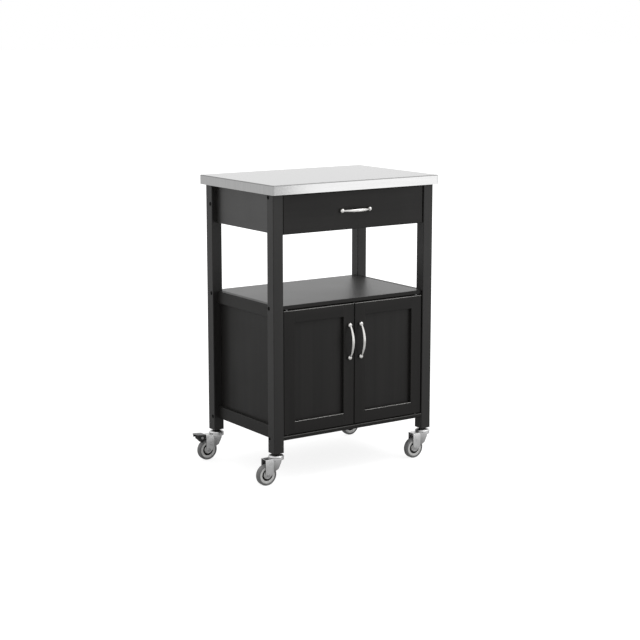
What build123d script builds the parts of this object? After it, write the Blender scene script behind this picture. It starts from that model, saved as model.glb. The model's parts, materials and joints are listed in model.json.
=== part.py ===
from build123d import *
import math
import os

# A kitchen cart: steel worktop, drawer, open bay and a two-door cupboard on four swivel casters.
# Millimetres; the origin is on the floor under the middle of the frame, +Z up, the front faces -Y.

# Overall sizes
cart_height = 857.0
top_width = 578.0
top_depth = 399.0
top_thickness = 27.5
side_overhang = 9.0
front_overhang = 13.5
back_overhang = 19.5
caster_height = 91.0

# Worktop
steel_sheet = 1.0
top_corner_round = 4.0
top_edge_round = 2.5
hem_width = 7.0
glue_gap = 0.2

# Frame timber
leg_side = 33.0
timber_round = 2.0
rail_thickness = 16.5
apron_height = 112.0
side_rail_height = 37.0
board_thickness = 12.0
shelf_top = 514.0
base_rise = 35.0
shelf_setback = 8.0
base_setback = 1.0
board_back_setback = 6.0
stretcher_width = 40.0
stretcher_thickness = 17.0
stretcher_gap = 1.5

# Thin panels in grooves
panel_thickness = 3.0
panel_inset = 27.0
back_panel_inset = 20.0
groove_depth = 6.0
groove_side_play = 0.15
groove_end_play = 0.5

# Furniture bolts through the legs
bolt_diameter = 6.0
bolt_length = 57.0
bolt_head_diameter = 11.0
bolt_head_height = 2.2
bolt_sink = 3.0
bolt_play = 0.3
bolt_inset = 24.75
hex_radius = 2.6
hex_depth = 1.5

# Drawer and door fronts
front_thickness = 16.0
front_setback = 3.0
front_gap = 2.5
front_round = 2.0
drawer_front_height = 110.5
drawer_top_gap = 3.0

# Drawer box
drawer_back_gap = 10.0
drawer_side_height = 84.0
drawer_board = 12.0
drawer_lift = 6.0
drawer_bottom_thickness = 3.0
drawer_bottom_rise = 8.0

# Drawer runners
runner_space = 13.0
runner_back_gap = 10.0
runner_height = 17.0
runner_sheet = 1.2
runner_flange = 9.0
runner_front_inset = 23.0
tongue_thickness = 1.5
tongue_width = 8.0
tongue_web_height = 24.0
glide_length = 24.0
glide_play = 0.3

# Doors
door_head_gap = 2.0
door_foot_gap = 2.0
door_frame_width = 37.0
door_panel_recess = 9.0
hinge_offset = 15.0
hinge_depth = 9.0
pin_diameter = 4.0
pin_play = 0.05
pin_hold = 12.0
pin_end_gap = 1.0
bush_wall = 1.0
bush_depth = 8.0
seat_gap = 0.3
catch_width = 34.0
catch_depth = 14.0
catch_height = 10.0
catch_offset = 26.0
strike_thickness = 1.0

# Bow handles
handle_spacing = 96.0
handle_rise = 26.0
handle_belly_width = 9.0
handle_belly_depth = 7.0
handle_neck = 5.0
handle_foot_diameter = 12.0
handle_foot_rim = 1.4
handle_foot_height = 7.0
handle_foot_flare = 0.6
handle_foot_waist = 4.5
handle_drop = 110.5

# Casters
wheel_headroom = 14.0
tyre_width = 18.0
tyre_depth = 6.0
tyre_shoulder = 4.0
rim_depth = 6.5
rim_width = 15.0
hub_recess = 6.0
hub_width = 20.0
web_thickness = 5.0
caster_trail = 34.0
fork_sheet = 2.0
fork_inside = 22.0
fork_nose = 17.0
nose_round = 0.54
fork_roof_drop = 0.4
cheek_end_radius = 8.5
cheek_flat = 18.0
cheek_knee_rise = 6.0
flank_reach = 19.0
flank_rise = 7.0
crown_diameter = 44.0
crown_skirt = 6.0
crown_round = 1.5
swivel_gap = 0.6
bearing_height = 8.4
bearing_diameter = 45.0
bearing_rim = 3.2
bearing_neck = 26.0
collar_height = 4.0
collar_diameter = 21.0
stem_diameter = 9.5
stem_length = 32.0
stem_play = 0.05
stem_chamfer = 1.2
stem_head_diameter = 14.0
stem_head_height = 2.5
stem_socket_play = 0.25
axle_diameter = 6.0
axle_play = 0.05
rivet_head_diameter = 11.0
rivet_head_height = 2.0
rivet_dome = 0.6

# Brake pedals on the back casters
brake_pivot_rise = 17.6
brake_pivot_angle = 30.3
brake_pin_diameter = 5.0
brake_pin_head_diameter = 8.0
brake_pin_head_height = 1.5
brake_ear_radius = 4.4
brake_side_play = 1.5
brake_shoe_gap = 3.5
brake_shoe_low = 38.0
brake_shoe_high = 56.0
pedal_front_crest = 8.0
pedal_heel_crest = 10.8
pedal_tip_crest = 12.0
pedal_thickness = 2.6
pedal_front_gap = 2.0
pedal_heel = 14.5
pedal_reach = 22.5
pedal_tip_edge = 1.4
pedal_tip_width = 10.0
skirt_play = 0.5
skirt_thickness = 2.0
skirt_front_drop = 4.0
skirt_lobe_drop = 9.5
skirt_lobe_shift = 2.5
skirt_lobe_back = 7.0
skirt_lobe_corner = 6.5
skirt_heel_drop = 0.5

# Places worked out from the sizes above
half_width = top_width / 2 - side_overhang
half_depth = (top_depth - front_overhang - back_overhang) / 2
inner_x = half_width - leg_side
inner_y = half_depth - leg_side
slab_bottom = cart_height - top_thickness
leg_height = slab_bottom - caster_height
leg_x = half_width - leg_side / 2
leg_y = half_depth - leg_side / 2
apron_bottom = slab_bottom - apron_height
shelf_bottom = shelf_top - board_thickness
base_bottom = caster_height + base_rise
base_top = base_bottom + board_thickness
upper_rail_bottom = shelf_top - side_rail_height
lower_rail_top = base_bottom + side_rail_height
panel_reach = groove_depth - groove_end_play
front_face = -half_depth + front_setback
front_back = front_face + front_thickness
bolt_y = half_depth - bolt_inset

drawer_front_top = slab_bottom - drawer_top_gap
drawer_front_bottom = drawer_front_top - drawer_front_height
drawer_floor = drawer_front_bottom + drawer_lift
drawer_side_x = inner_x - runner_space
drawer_back = inner_y - drawer_back_gap
runner_z = drawer_floor + drawer_side_height / 2
runner_front = -half_depth + runner_front_inset
runner_back = inner_y - runner_back_gap
runner_length = runner_back - runner_front

door_bottom = base_top + door_foot_gap
door_top = shelf_bottom - door_head_gap
door_width = (2 * inner_x - 3 * front_gap) / 2
hinge_x = inner_x - front_gap - hinge_offset
hinge_y = front_face + hinge_depth

crown_top = caster_height - collar_height - bearing_height - swivel_gap
crown_roof = crown_top - fork_sheet
wheel_radius = (crown_roof - wheel_headroom) / 2
fork_half = fork_inside / 2 + fork_sheet
cheek_front = cheek_flat - caster_trail
cheek_rear = -caster_trail - cheek_end_radius
pedal_front = cheek_rear - pedal_front_gap
skirt_inside = fork_half + skirt_play
skirt_outside = skirt_inside + skirt_thickness
brake_angle = math.radians(brake_pivot_angle)
brake_arm = wheel_radius + brake_pivot_rise
brake_x = -caster_trail - brake_arm * math.sin(brake_angle)
brake_z = wheel_radius + brake_arm * math.cos(brake_angle)

same_place = 0.01
LEFT, RIGHT = -1, 1
FRONT, BACK = -1, 1


def block(x0, x1, y0, y1, z0, z1):
    """A plain block between two opposite corners."""
    centre = Pos((x0 + x1) / 2, (y0 + y1) / 2, (z0 + z1) / 2)
    return centre * Box(abs(x1 - x0), abs(y1 - y0), abs(z1 - z0))


def rod(radius, length):
    """A round bar that starts at the origin and runs up z."""
    return Cylinder(radius, length, align=(Align.CENTER, Align.CENTER, Align.MIN))


def along_y(radius, y0, y1, x, z):
    """A round bar along y between two stations."""
    return Pos(x, y1, z) * Rot(90, 0, 0) * rod(radius, y1 - y0)


def soften(solid, radius, axis, key):
    """Round the long edges of a board that pass the test given as key."""
    return fillet([edge for edge in solid.edges().filter_by(axis) if key(edge.center())], radius)


def turned(profile):
    """A turned piece from a half section drawn in the xz plane, turned about z."""
    return revolve(Plane.XZ * make_face(profile), Axis.Z)


# Worktop

def rounded_slab(width, depth, height, corner, edge):
    """A slab on z = 0 with round corners and a rounded upper edge."""
    slab = extrude(RectangleRounded(width, depth, corner), height)
    return fillet(slab.faces().sort_by(Axis.Z)[-1].edges(), edge)


def at_worktop(solid):
    """Set a piece drawn on z = 0 onto the frame, under the worktop's middle."""
    return Pos(0, top_depth / 2 - half_depth - front_overhang, slab_bottom) * solid


def worktop_skin():
    """The folded steel skin: top, four sides and a hem turned in underneath."""
    lining = 2 * steel_sheet
    mouth = 2 * (steel_sheet + hem_width)
    outside = rounded_slab(top_width, top_depth, top_thickness, top_corner_round, top_edge_round)
    inside = rounded_slab(
        top_width - lining,
        top_depth - lining,
        top_thickness - lining,
        top_corner_round - steel_sheet,
        top_edge_round - steel_sheet,
    )
    opening = extrude(Rectangle(top_width - mouth, top_depth - mouth), steel_sheet)
    return at_worktop(outside - Pos(0, 0, steel_sheet) * inside - opening)


def worktop_core():
    """The board inside the skin, stepped so that its underside lies level with the hem."""
    lining = 2 * (steel_sheet + glue_gap)
    mouth = 2 * (steel_sheet + hem_width + glue_gap)
    board = rounded_slab(
        top_width - lining,
        top_depth - lining,
        top_thickness - lining,
        top_corner_round - steel_sheet,
        top_edge_round - steel_sheet,
    )
    step = extrude(Rectangle(top_width - mouth, top_depth - mouth), steel_sheet + glue_gap)
    return at_worktop(Pos(0, 0, steel_sheet + glue_gap) * board + step)


# Frame timber and its fixings

def bolt_heights(end):
    """Heights of the bolts in a front or back leg: base board, shelf and top rail."""
    top_rail = slab_bottom - stretcher_thickness / 2
    if end == BACK:
        top_rail = apron_bottom + apron_height / 2
    return [base_top - board_thickness / 2, shelf_top - board_thickness / 2, top_rail]


def at_bolt(side, end, height, solid):
    """Turn a piece drawn up z to point inwards from a leg's outer face."""
    return Pos(side * half_width, end * bolt_y, height) * Rot(0, -90 * side, 0) * solid


def frame_bolt():
    """A flat-headed furniture bolt with a hexagon socket, seated in its counterbore."""
    seat = bolt_sink - bolt_head_height
    head = Pos(0, 0, seat) * rod(bolt_head_diameter / 2, bolt_head_height)
    shank = Pos(0, 0, bolt_sink) * rod(bolt_diameter / 2, bolt_length)
    socket = Pos(0, 0, seat) * extrude(RegularPolygon(hex_radius, 6), hex_depth)
    return head + shank - socket


def bolt_hole():
    """The clearance hole and counterbore for a frame bolt."""
    sink = rod(bolt_head_diameter / 2 + bolt_play, bolt_sink)
    return sink + rod(bolt_diameter / 2 + bolt_play, bolt_sink + bolt_length + bolt_play)


def corners():
    """The four corners of the frame as pairs of side and end."""
    return [(side, end) for end in (FRONT, BACK) for side in (LEFT, RIGHT)]


def frame_bolts():
    """Every bolt of the frame."""
    return [
        at_bolt(side, end, height, frame_bolt())
        for side, end in corners()
        for height in bolt_heights(end)
    ]


def drilled(solid, level, ends):
    """Drill a rail or board for the bolts of one level, counted from the base."""
    for side in (LEFT, RIGHT):
        for end in ends:
            solid -= at_bolt(side, end, bolt_heights(end)[level], bolt_hole())
    return solid


def side_panel_space(side, reach, play):
    """The room of a side panel between its rails and legs."""
    outer = half_width - panel_inset + play
    inner = half_width - panel_inset - panel_thickness - play
    y = inner_y + reach
    return block(side * inner, side * outer, -y, y, lower_rail_top - reach, upper_rail_bottom + reach)


def back_panel_space(reach, play):
    """The room of the back panel between the back legs, the base board and the shelf."""
    outer = half_depth - back_panel_inset + play
    inner = half_depth - back_panel_inset - panel_thickness - play
    x = inner_x + reach
    return block(-x, x, inner, outer, base_top, shelf_bottom)


def leg(side, end):
    """A square leg with rounded edges, panel grooves, bolt holes and the socket for a caster stem."""
    post = extrude(RectangleRounded(leg_side, leg_side, timber_round), leg_height)
    post = Pos(side * leg_x, end * leg_y, caster_height) * post
    post -= side_panel_space(side, groove_depth, groove_side_play)
    if end == BACK:
        post -= back_panel_space(groove_depth, groove_side_play)
    for height in bolt_heights(end):
        post -= at_bolt(side, end, height, bolt_hole())
    socket = rod(stem_diameter / 2 + stem_socket_play, stem_length + stem_socket_play)
    return post - Pos(side * leg_x, end * leg_y, caster_height) * socket


def side_board(side, bottom, top):
    """A board between the legs of one side, flush with their inner faces."""
    outer = inner_x + rail_thickness
    board = block(side * inner_x, side * outer, -inner_y, inner_y, bottom, top)
    return soften(board, timber_round, Axis.Y, lambda at: abs(at.X) > outer - timber_round)


def apron(side):
    """The deep board under the worktop at one side."""
    outer = inner_x + rail_thickness
    board = block(side * inner_x, side * outer, -inner_y, inner_y, apron_bottom, slab_bottom)
    rim = outer - timber_round
    low = apron_bottom + timber_round
    return soften(board, timber_round, Axis.Y, lambda at: abs(at.X) > rim and at.Z < low)


def apron_back():
    """The deep board under the worktop at the back."""
    board = block(-inner_x, inner_x, inner_y, inner_y + rail_thickness, apron_bottom, slab_bottom)
    return drilled(board, 2, [BACK])


def front_stretcher():
    """The flat rail under the worktop, just behind the drawer front."""
    near = front_back + stretcher_gap
    far = near + stretcher_width
    board = block(-inner_x, inner_x, near, far, slab_bottom - stretcher_thickness, slab_bottom)
    return drilled(board, 2, [FRONT])


def side_rails(side):
    """The grooved upper and lower rails that frame a side panel."""
    groove = side_panel_space(side, groove_depth, groove_side_play)
    upper = side_board(side, upper_rail_bottom, shelf_top) - groove
    lower = side_board(side, base_bottom, lower_rail_top) - groove
    return [upper, lower]


def flat_board(bottom, top, setback):
    """A full-width board between the legs with a softened front edge."""
    near = -half_depth + setback
    board = block(-inner_x, inner_x, near, half_depth - board_back_setback, bottom, top)
    return soften(board, timber_round, Axis.X, lambda at: at.Y < near + timber_round)


def middle_shelf():
    """The shelf that is the floor of the open bay, drilled for bolts and door bushes."""
    board = drilled(flat_board(shelf_bottom, shelf_top, shelf_setback), 1, [FRONT, BACK])
    for side in (LEFT, RIGHT):
        board -= Pos(side * hinge_x, hinge_y, shelf_bottom) * rod(bush_radius(), bush_depth)
    return board


def base_board():
    """The floor of the cupboard, drilled for bolts and door bushes."""
    board = drilled(flat_board(base_bottom, base_top, base_setback), 0, [FRONT, BACK])
    for side in (LEFT, RIGHT):
        board -= Pos(side * hinge_x, hinge_y, base_top - bush_depth) * rod(bush_radius(), bush_depth)
    return board


# Drawer runners fixed to the frame

def runner_section(side):
    """The channel section of a runner, open towards the drawer."""
    half = runner_height / 2
    depth = runner_flange
    outer = Rectangle(depth, 2 * half)
    inner = Pos(-runner_sheet * side, 0) * Rectangle(depth, 2 * (half - runner_sheet))
    return Pos(side * (inner_x - depth / 2), runner_z) * (outer - inner)


def drawer_runners():
    """A steel channel on each side of the drawer."""
    channels = []
    for side in (LEFT, RIGHT):
        channel = extrude(Plane.XZ * runner_section(side), -runner_length)
        channels.append(Pos(0, runner_front, 0) * channel)
    return channels


def tongue_slot(side, length, play):
    """The room that a drawer rail's tongue takes inside a glide."""
    half = tongue_thickness / 2 + play
    near = drawer_side_x
    far = drawer_side_x + runner_sheet + tongue_width + play
    return block(side * near, side * far, 0, length, runner_z - half, runner_z + half)


def glide_block(side, play):
    """A nylon block that fills a runner channel with the given play."""
    half = runner_height / 2 - runner_sheet - play
    near = inner_x - runner_flange
    far = inner_x - runner_sheet - play
    return block(side * near, side * far, 0, glide_length, runner_z - half, runner_z + half)


def runner_glides():
    """The guide block at the mouth of each channel, slotted for the tongue."""
    glides = []
    for side in (LEFT, RIGHT):
        glide = glide_block(side, 0) - tongue_slot(side, glide_length, glide_play)
        glides.append(Pos(0, runner_front, 0) * glide)
    return glides


# Drawer

def board_edges_in_front(solid, face_y, radius):
    """Round every edge that borders a front face."""
    return fillet([edge for edge in solid.edges() if abs(edge.center().Y - face_y) < same_place], radius)


def drawer_front():
    """The flat inset front."""
    x = inner_x - front_gap
    board = block(-x, x, front_face, front_back, drawer_front_bottom, drawer_front_top)
    return board_edges_in_front(board, front_face, front_round)


def drawer_bottom_space(reach, play):
    """The room of the drawer bottom between the sides and into the back."""
    x = drawer_side_x - drawer_board + reach
    z = drawer_floor + drawer_bottom_rise
    far = drawer_back - drawer_board + reach
    return block(-x, x, front_back, far, z - play, z + drawer_bottom_thickness + play)


def drawer_sides():
    """The two grooved sides."""
    groove = drawer_bottom_space(groove_depth, groove_side_play)
    boards = []
    for side in (LEFT, RIGHT):
        inner = drawer_side_x - drawer_board
        top = drawer_floor + drawer_side_height
        board = block(side * inner, side * drawer_side_x, front_back, drawer_back, drawer_floor, top)
        boards.append(board - groove)
    return boards


def drawer_back_board():
    """The back between the sides."""
    x = drawer_side_x - drawer_board
    top = drawer_floor + drawer_side_height
    board = block(-x, x, drawer_back - drawer_board, drawer_back, drawer_floor, top)
    return board - drawer_bottom_space(groove_depth, groove_side_play)


def drawer_rails():
    """A steel rail on each drawer side, with a tongue that runs in the channel."""
    rails = []
    for side in (LEFT, RIGHT):
        web_far = drawer_side_x + runner_sheet
        half = tongue_web_height / 2
        back = runner_back - runner_sheet
        web = block(
            side * drawer_side_x, side * web_far, runner_front, back, runner_z - half, runner_z + half
        )
        tongue = Pos(0, runner_front, 0) * tongue_slot(side, back - runner_front, 0)
        rails.append(web + tongue)
    return rails


def drawer_glides():
    """The nylon shoe on the back end of each tongue."""
    glides = []
    for side in (LEFT, RIGHT):
        shoe = glide_block(side, glide_play) - tongue_slot(side, glide_length, 0)
        glides.append(Pos(0, runner_back - runner_sheet - glide_length, 0) * shoe)
    return glides


# Bow handles

def handle_foot():
    """A flared round foot that ends in a small ball."""
    rim = handle_foot_diameter / 2
    neck = handle_neck / 2 + handle_foot_flare
    crown = handle_foot_height + neck
    outline = Curve() + [
        Line((0, 0), (rim, 0)),
        Line((rim, 0), (rim, handle_foot_rim)),
        Spline((rim, handle_foot_rim), (neck, handle_foot_waist), tangents=((-1, 0.15), (-0.1, 1))),
        Spline((neck, handle_foot_waist), (0, crown), tangents=((-0.1, 1), (-1, 0))),
        Line((0, crown), (0, 0)),
    ]
    return turned(outline)


def bow_handle():
    """A bow pull lying along x on the plane z = 0, slim at its feet and full in the middle."""
    half = handle_spacing / 2
    crest = handle_rise - handle_belly_depth / 2
    low = handle_foot_height
    spine = ThreePointArc((-half, 0, low), (0, 0, crest), (half, 0, low))
    sections = []
    for station in (0, 0.25, 0.5, 0.75, 1):
        swell = math.sin(math.pi * station)
        across = handle_neck + (handle_belly_width - handle_neck) * swell
        depth = handle_neck + (handle_belly_depth - handle_neck) * swell
        cut = Plane(spine @ station, x_dir=(0, 1, 0), z_dir=spine % station)
        sections.append(cut * Ellipse(across / 2, depth / 2))
    bar = loft(sections)
    return bar + Pos(-half, 0, 0) * handle_foot() + Pos(half, 0, 0) * handle_foot()


def drawer_handle():
    """The handle lying across the middle of the drawer front."""
    height = (drawer_front_bottom + drawer_front_top) / 2
    face = Plane((0, front_face, height), x_dir=(1, 0, 0), z_dir=(0, -1, 0))
    return face * bow_handle()


# Doors

def door_edges(side):
    """The x of a door's hinge edge and of its meeting edge."""
    hinge_edge = side * (inner_x - front_gap)
    return hinge_edge, hinge_edge - side * door_width


def door_panel_space(side, reach, play):
    """The room of a door panel between the stiles and rails."""
    hinge_edge, meeting_edge = door_edges(side)
    inset = side * (door_frame_width - reach)
    near = front_face + door_panel_recess
    low = door_bottom + door_frame_width - reach
    high = door_top - door_frame_width + reach
    return block(
        hinge_edge - inset, meeting_edge + inset, near - play, near + panel_thickness + play, low, high
    )


def pivot_pin(side, z0, z1, play):
    """A door pivot pin, or the hole for one, between two heights."""
    return Pos(side * hinge_x, hinge_y, z0) * rod(pin_diameter / 2 + play, z1 - z0)


def door_stiles(side):
    """The two uprights of a door, rounded along the outer edges of the front."""
    groove = door_panel_space(side, groove_depth, groove_side_play)
    stiles = []
    for outer, inward in zip(door_edges(side), (-side, side)):
        inner = outer + inward * door_frame_width
        post = block(outer, inner, front_face, front_back, door_bottom, door_top)
        rim = [edge for edge in post.edges() if is_outer_front(edge.center(), inner)]
        stiles.append(fillet(rim, front_round) - groove)
    stiles[0] -= pivot_pin(side, door_bottom, door_bottom + pin_hold, pin_play)
    stiles[0] -= pivot_pin(side, door_top - pin_hold, door_top, pin_play)
    return stiles


def is_outer_front(at, inner_edge_x):
    """Whether an edge lies on a stile's front face and off its inner edge."""
    return abs(at.Y - front_face) < same_place and abs(at.X - inner_edge_x) > same_place


def door_rails(side):
    """The top and bottom rails between the stiles."""
    hinge_edge, meeting_edge = door_edges(side)
    near = hinge_edge - side * door_frame_width
    far = meeting_edge + side * door_frame_width
    groove = door_panel_space(side, groove_depth, groove_side_play)
    rails = []
    for outer, inner in (
        (door_bottom, door_bottom + door_frame_width),
        (door_top, door_top - door_frame_width),
    ):
        rail = block(near, far, front_face, front_back, outer, inner)
        edges = rail.edges().filter_by(Axis.X)
        rim = [edge for edge in edges if is_rail_rim(edge.center(), outer)]
        rails.append(fillet(rim, front_round) - groove)
    return rails


def is_rail_rim(at, outer_z):
    """Whether an edge is the outer edge of a rail's front face."""
    return abs(at.Y - front_face) < same_place and abs(at.Z - outer_z) < same_place


def bush_radius():
    """Outer radius of a pivot bush."""
    return pin_diameter / 2 + pin_play + bush_wall


def door_bushes():
    """The four bushes in the shelf and base board that carry the doors' pivot pins."""
    bushes = []
    for side in (LEFT, RIGHT):
        for low, high in (
            (base_top - bush_depth, door_bottom - seat_gap),
            (door_top + seat_gap, shelf_bottom + bush_depth),
        ):
            sleeve = Pos(side * hinge_x, hinge_y, low) * rod(bush_radius(), high - low)
            bushes.append(sleeve - pivot_pin(side, low, high, pin_play))
    return bushes


def strike_place(side):
    """The x of a door's catch plate."""
    return side * (front_gap / 2 + catch_offset)


def door_catches():
    """The magnetic catch under the shelf for each door."""
    near = front_back + strike_thickness + seat_gap
    catches = []
    for side in (LEFT, RIGHT):
        x = strike_place(side)
        catches.append(
            block(
                x - catch_width / 2,
                x + catch_width / 2,
                near,
                near + catch_depth,
                shelf_bottom - catch_height,
                shelf_bottom,
            )
        )
    return catches


def door_fittings(side):
    """A door's two pivot pins and its catch plate."""
    tip = door_foot_gap + bush_depth - pin_end_gap
    lower = pivot_pin(side, door_bottom - tip, door_bottom + pin_hold, 0)
    tip = door_head_gap + bush_depth - pin_end_gap
    upper = pivot_pin(side, door_top - pin_hold, door_top + tip, 0)
    x = strike_place(side)
    strike = block(
        x - catch_width / 2,
        x + catch_width / 2,
        front_back,
        front_back + strike_thickness,
        shelf_bottom - catch_height,
        door_top - strike_thickness,
    )
    return [lower, upper, strike]


def door_handle(side):
    """The upright handle on a door's meeting stile."""
    meeting_edge = door_edges(side)[1]
    x = meeting_edge + side * door_frame_width / 2
    face = Plane((x, front_face, door_top - handle_drop), x_dir=(0, 0, 1), z_dir=(0, -1, 0))
    return face * bow_handle()


# Casters, drawn with the swivel axis on z and the wheel trailing towards -x

def caster_stem():
    """The kingpin and stem: a head under the fork's crown and a shank up into the leg."""
    head_top = crown_roof - seat_gap
    head = Pos(0, 0, head_top - stem_head_height) * rod(stem_head_diameter / 2, stem_head_height)
    length = caster_height + stem_length - head_top
    shank = Pos(0, 0, head_top) * rod(stem_diameter / 2, length)
    return chamfer(shank.faces().sort_by(Axis.Z)[-1].edges(), stem_chamfer) + head


def stem_collar():
    """The black ring between the leg and the swivel bearing."""
    ring = rod(collar_diameter / 2, collar_height) - rod(stem_diameter / 2 + stem_play, collar_height)
    return Pos(0, 0, caster_height - collar_height) * ring


def swivel_bearing():
    """The domed bearing cap above the fork's crown."""
    low = crown_top + swivel_gap
    high = low + bearing_height
    rim = bearing_diameter / 2
    neck = bearing_neck / 2
    bore = stem_diameter / 2 + stem_play
    outline = Curve() + [
        Line((bore, low), (rim, low)),
        Line((rim, low), (rim, low + bearing_rim)),
        Spline(
            (rim, low + bearing_rim), (neck, high), tangents=((-0.35, 1), (-1, 0.1))
        ),
        Line((neck, high), (bore, high)),
        Line((bore, high), (bore, low)),
    ]
    return turned(outline)


def fork_plan(half, nose):
    """The fork seen from above: flat cheeks that fold in towards a round nose."""
    tail = caster_trail + brake_arm
    cheeks = Pos(cheek_front - tail / 2, 0) * Rectangle(tail, 2 * half)
    tip = half * nose_round
    return make_hull(cheeks.edges() + (Pos(nose - tip, 0) * Circle(tip)).edges())


def cheek_profile(braked):
    """The fork seen from the side, with a rear ear for the brake pin where there is one."""
    axle = (-caster_trail, wheel_radius)
    roof = crown_top - fork_roof_drop
    front = fork_nose + fork_sheet
    knee = (cheek_front, axle[1] + cheek_knee_rise)
    end = Pos(*axle) * Circle(cheek_end_radius)
    strip = make_hull(end.edges() + Polyline(knee, (cheek_front, roof), (cheek_rear, roof)).edges())
    flank = Polyline(
        knee,
        (knee[0] + flank_reach, knee[1] + flank_rise),
        (front, crown_top - crown_skirt - fork_sheet),
        (front, roof),
        (cheek_front, roof),
        close=True,
    )
    profile = strip + make_face(flank)
    if braked:
        link = axle[0] - brake_x
        ear = Pos(brake_x + link / 2, brake_z) * Rectangle(link, 2 * brake_ear_radius)
        profile += ear + Pos(brake_x, brake_z) * Circle(brake_ear_radius)
    return profile


def fork_crown():
    """The round pressed dish on top of the fork."""
    dish = fillet(
        rod(crown_diameter / 2, crown_skirt).faces().sort_by(Axis.Z)[-1].edges(), crown_round
    )
    dish -= rod(crown_diameter / 2 - fork_sheet, crown_skirt - fork_sheet)
    return Pos(0, 0, crown_top - crown_skirt) * dish


def caster_fork(braked):
    """A pressed fork: round crown, two cheeks and a nose cut back towards the axle."""
    walls = extrude(Plane.XZ * cheek_profile(braked), fork_half, both=True)
    walls &= extrude(fork_plan(fork_half, fork_nose), crown_top, dir=(0, 0, 1))
    hollow = fork_plan(fork_half - fork_sheet, fork_nose - fork_sheet)
    walls -= extrude(hollow, crown_roof, dir=(0, 0, 1))
    fork = walls + fork_crown() - rod(stem_diameter / 2 + stem_play, caster_height)
    fork -= along_y(axle_diameter / 2 + axle_play, -fork_half, fork_half, -caster_trail, wheel_radius)
    if braked:
        fork -= along_y(brake_pin_diameter / 2 + axle_play, -fork_half, fork_half, brake_x, brake_z)
        slot = cheek_rear - brake_x + brake_ear_radius
        fork -= Pos(cheek_rear - slot / 2, 0, brake_z) * Box(slot, fork_inside, 4 * brake_ear_radius)
    return fork


def rivet(x, z, reach, diameter, head_diameter, head_height):
    """A rivet across the fork with a domed head at each end of its reach."""
    shank = along_y(diameter / 2, -reach, reach, x, z)
    head = rod(head_diameter / 2, head_height)
    head = fillet(head.faces().sort_by(Axis.Z)[-1].edges(), head_height * rivet_dome)
    near = Pos(x, -reach, z) * Rot(90, 0, 0) * head
    far = Pos(x, reach, z) * Rot(-90, 0, 0) * head
    return shank + near + far


def caster_pins(braked):
    """The axle rivet, and the brake pedal's pin where there is one."""
    axle_head = (rivet_head_diameter, rivet_head_height)
    pins = [rivet(-caster_trail, wheel_radius, fork_half, axle_diameter, *axle_head)]
    if braked:
        pin_head = (brake_pin_head_diameter, brake_pin_head_height)
        pins.append(rivet(brake_x, brake_z, skirt_outside + seat_gap, brake_pin_diameter, *pin_head))
    return pins


def at_axle(solid):
    """Turn a piece drawn about z onto the wheel's axle."""
    return Pos(-caster_trail, 0, wheel_radius) * Rot(90, 0, 0) * solid


def caster_wheel():
    """The wheel: hub, thin web and rim in one turned piece."""
    bore = axle_diameter / 2 + axle_play
    rim = wheel_radius - tyre_depth
    well = rim - rim_depth
    hub = well - hub_recess
    outline = Polyline(
        (bore, -hub_width / 2),
        (hub, -hub_width / 2),
        (hub, -web_thickness / 2),
        (well, -web_thickness / 2),
        (well, -rim_width / 2),
        (rim, -rim_width / 2),
        (rim, rim_width / 2),
        (well, rim_width / 2),
        (well, web_thickness / 2),
        (hub, web_thickness / 2),
        (hub, hub_width / 2),
        (bore, hub_width / 2),
        close=True,
    )
    return at_axle(turned(outline))


def caster_tyre():
    """The round-shouldered rubber tyre on the rim."""
    inner = wheel_radius - tyre_depth + axle_play
    middle = (inner + wheel_radius) / 2
    section = Pos(middle, 0) * Rectangle(wheel_radius - inner, tyre_width)
    shoulders = [corner for corner in section.vertices() if corner.X > middle]
    return at_axle(revolve(Plane.XZ * fillet(shoulders, tyre_shoulder), Axis.Z))


def on_wheel(radius, angle):
    """A point in the xz plane around the axle, at an angle up from straight back."""
    turn = math.radians(angle)
    return (-caster_trail - radius * math.cos(turn), wheel_radius + radius * math.sin(turn))


def plate_top(x):
    """The height of the pedal plate's top at a place along it."""
    share = (pedal_front - x) / (pedal_front - brake_x + pedal_heel)
    return brake_z + pedal_front_crest + share * (pedal_heel_crest - pedal_front_crest)


def pedal_plate():
    """The pedal's top: a flat plate that rises and narrows to a thin tip behind."""
    heel = brake_x - pedal_heel
    tip = brake_x - pedal_reach
    tip_top = brake_z + pedal_tip_crest
    side_view = Polyline(
        (pedal_front, plate_top(pedal_front) - pedal_thickness),
        (pedal_front, plate_top(pedal_front)),
        (heel, plate_top(heel)),
        (tip, tip_top),
        (tip, tip_top - pedal_tip_edge),
        (heel, plate_top(heel) - pedal_thickness),
        close=True,
    )
    plan = Polyline(
        (pedal_front, -skirt_outside),
        (pedal_front, skirt_outside),
        (heel, skirt_outside),
        (tip, pedal_tip_width / 2),
        (tip, -pedal_tip_width / 2),
        (heel, -skirt_outside),
        close=True,
    )
    plate = extrude(Plane.XZ * make_face(side_view), skirt_outside, both=True)
    return plate & extrude(make_face(plan), caster_height)


def pedal_skirts():
    """The pedal's two side walls, which hang outside the fork's ears in a lobe round the pin."""
    heel = brake_x - pedal_heel
    back = brake_x - skirt_lobe_back
    side_view = Polyline(
        (pedal_front, plate_top(pedal_front)),
        (pedal_front, brake_z - skirt_front_drop),
        (brake_x - skirt_lobe_shift, brake_z - skirt_lobe_drop),
        (back, brake_z - skirt_lobe_corner),
        (back, brake_z - skirt_heel_drop),
        (heel, brake_z - skirt_heel_drop),
        (heel, plate_top(heel)),
        close=True,
    )
    walls = extrude(Plane.XZ * make_face(side_view), skirt_outside, both=True)
    return walls - extrude(Plane.XZ * make_face(side_view), skirt_inside, both=True)


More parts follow.
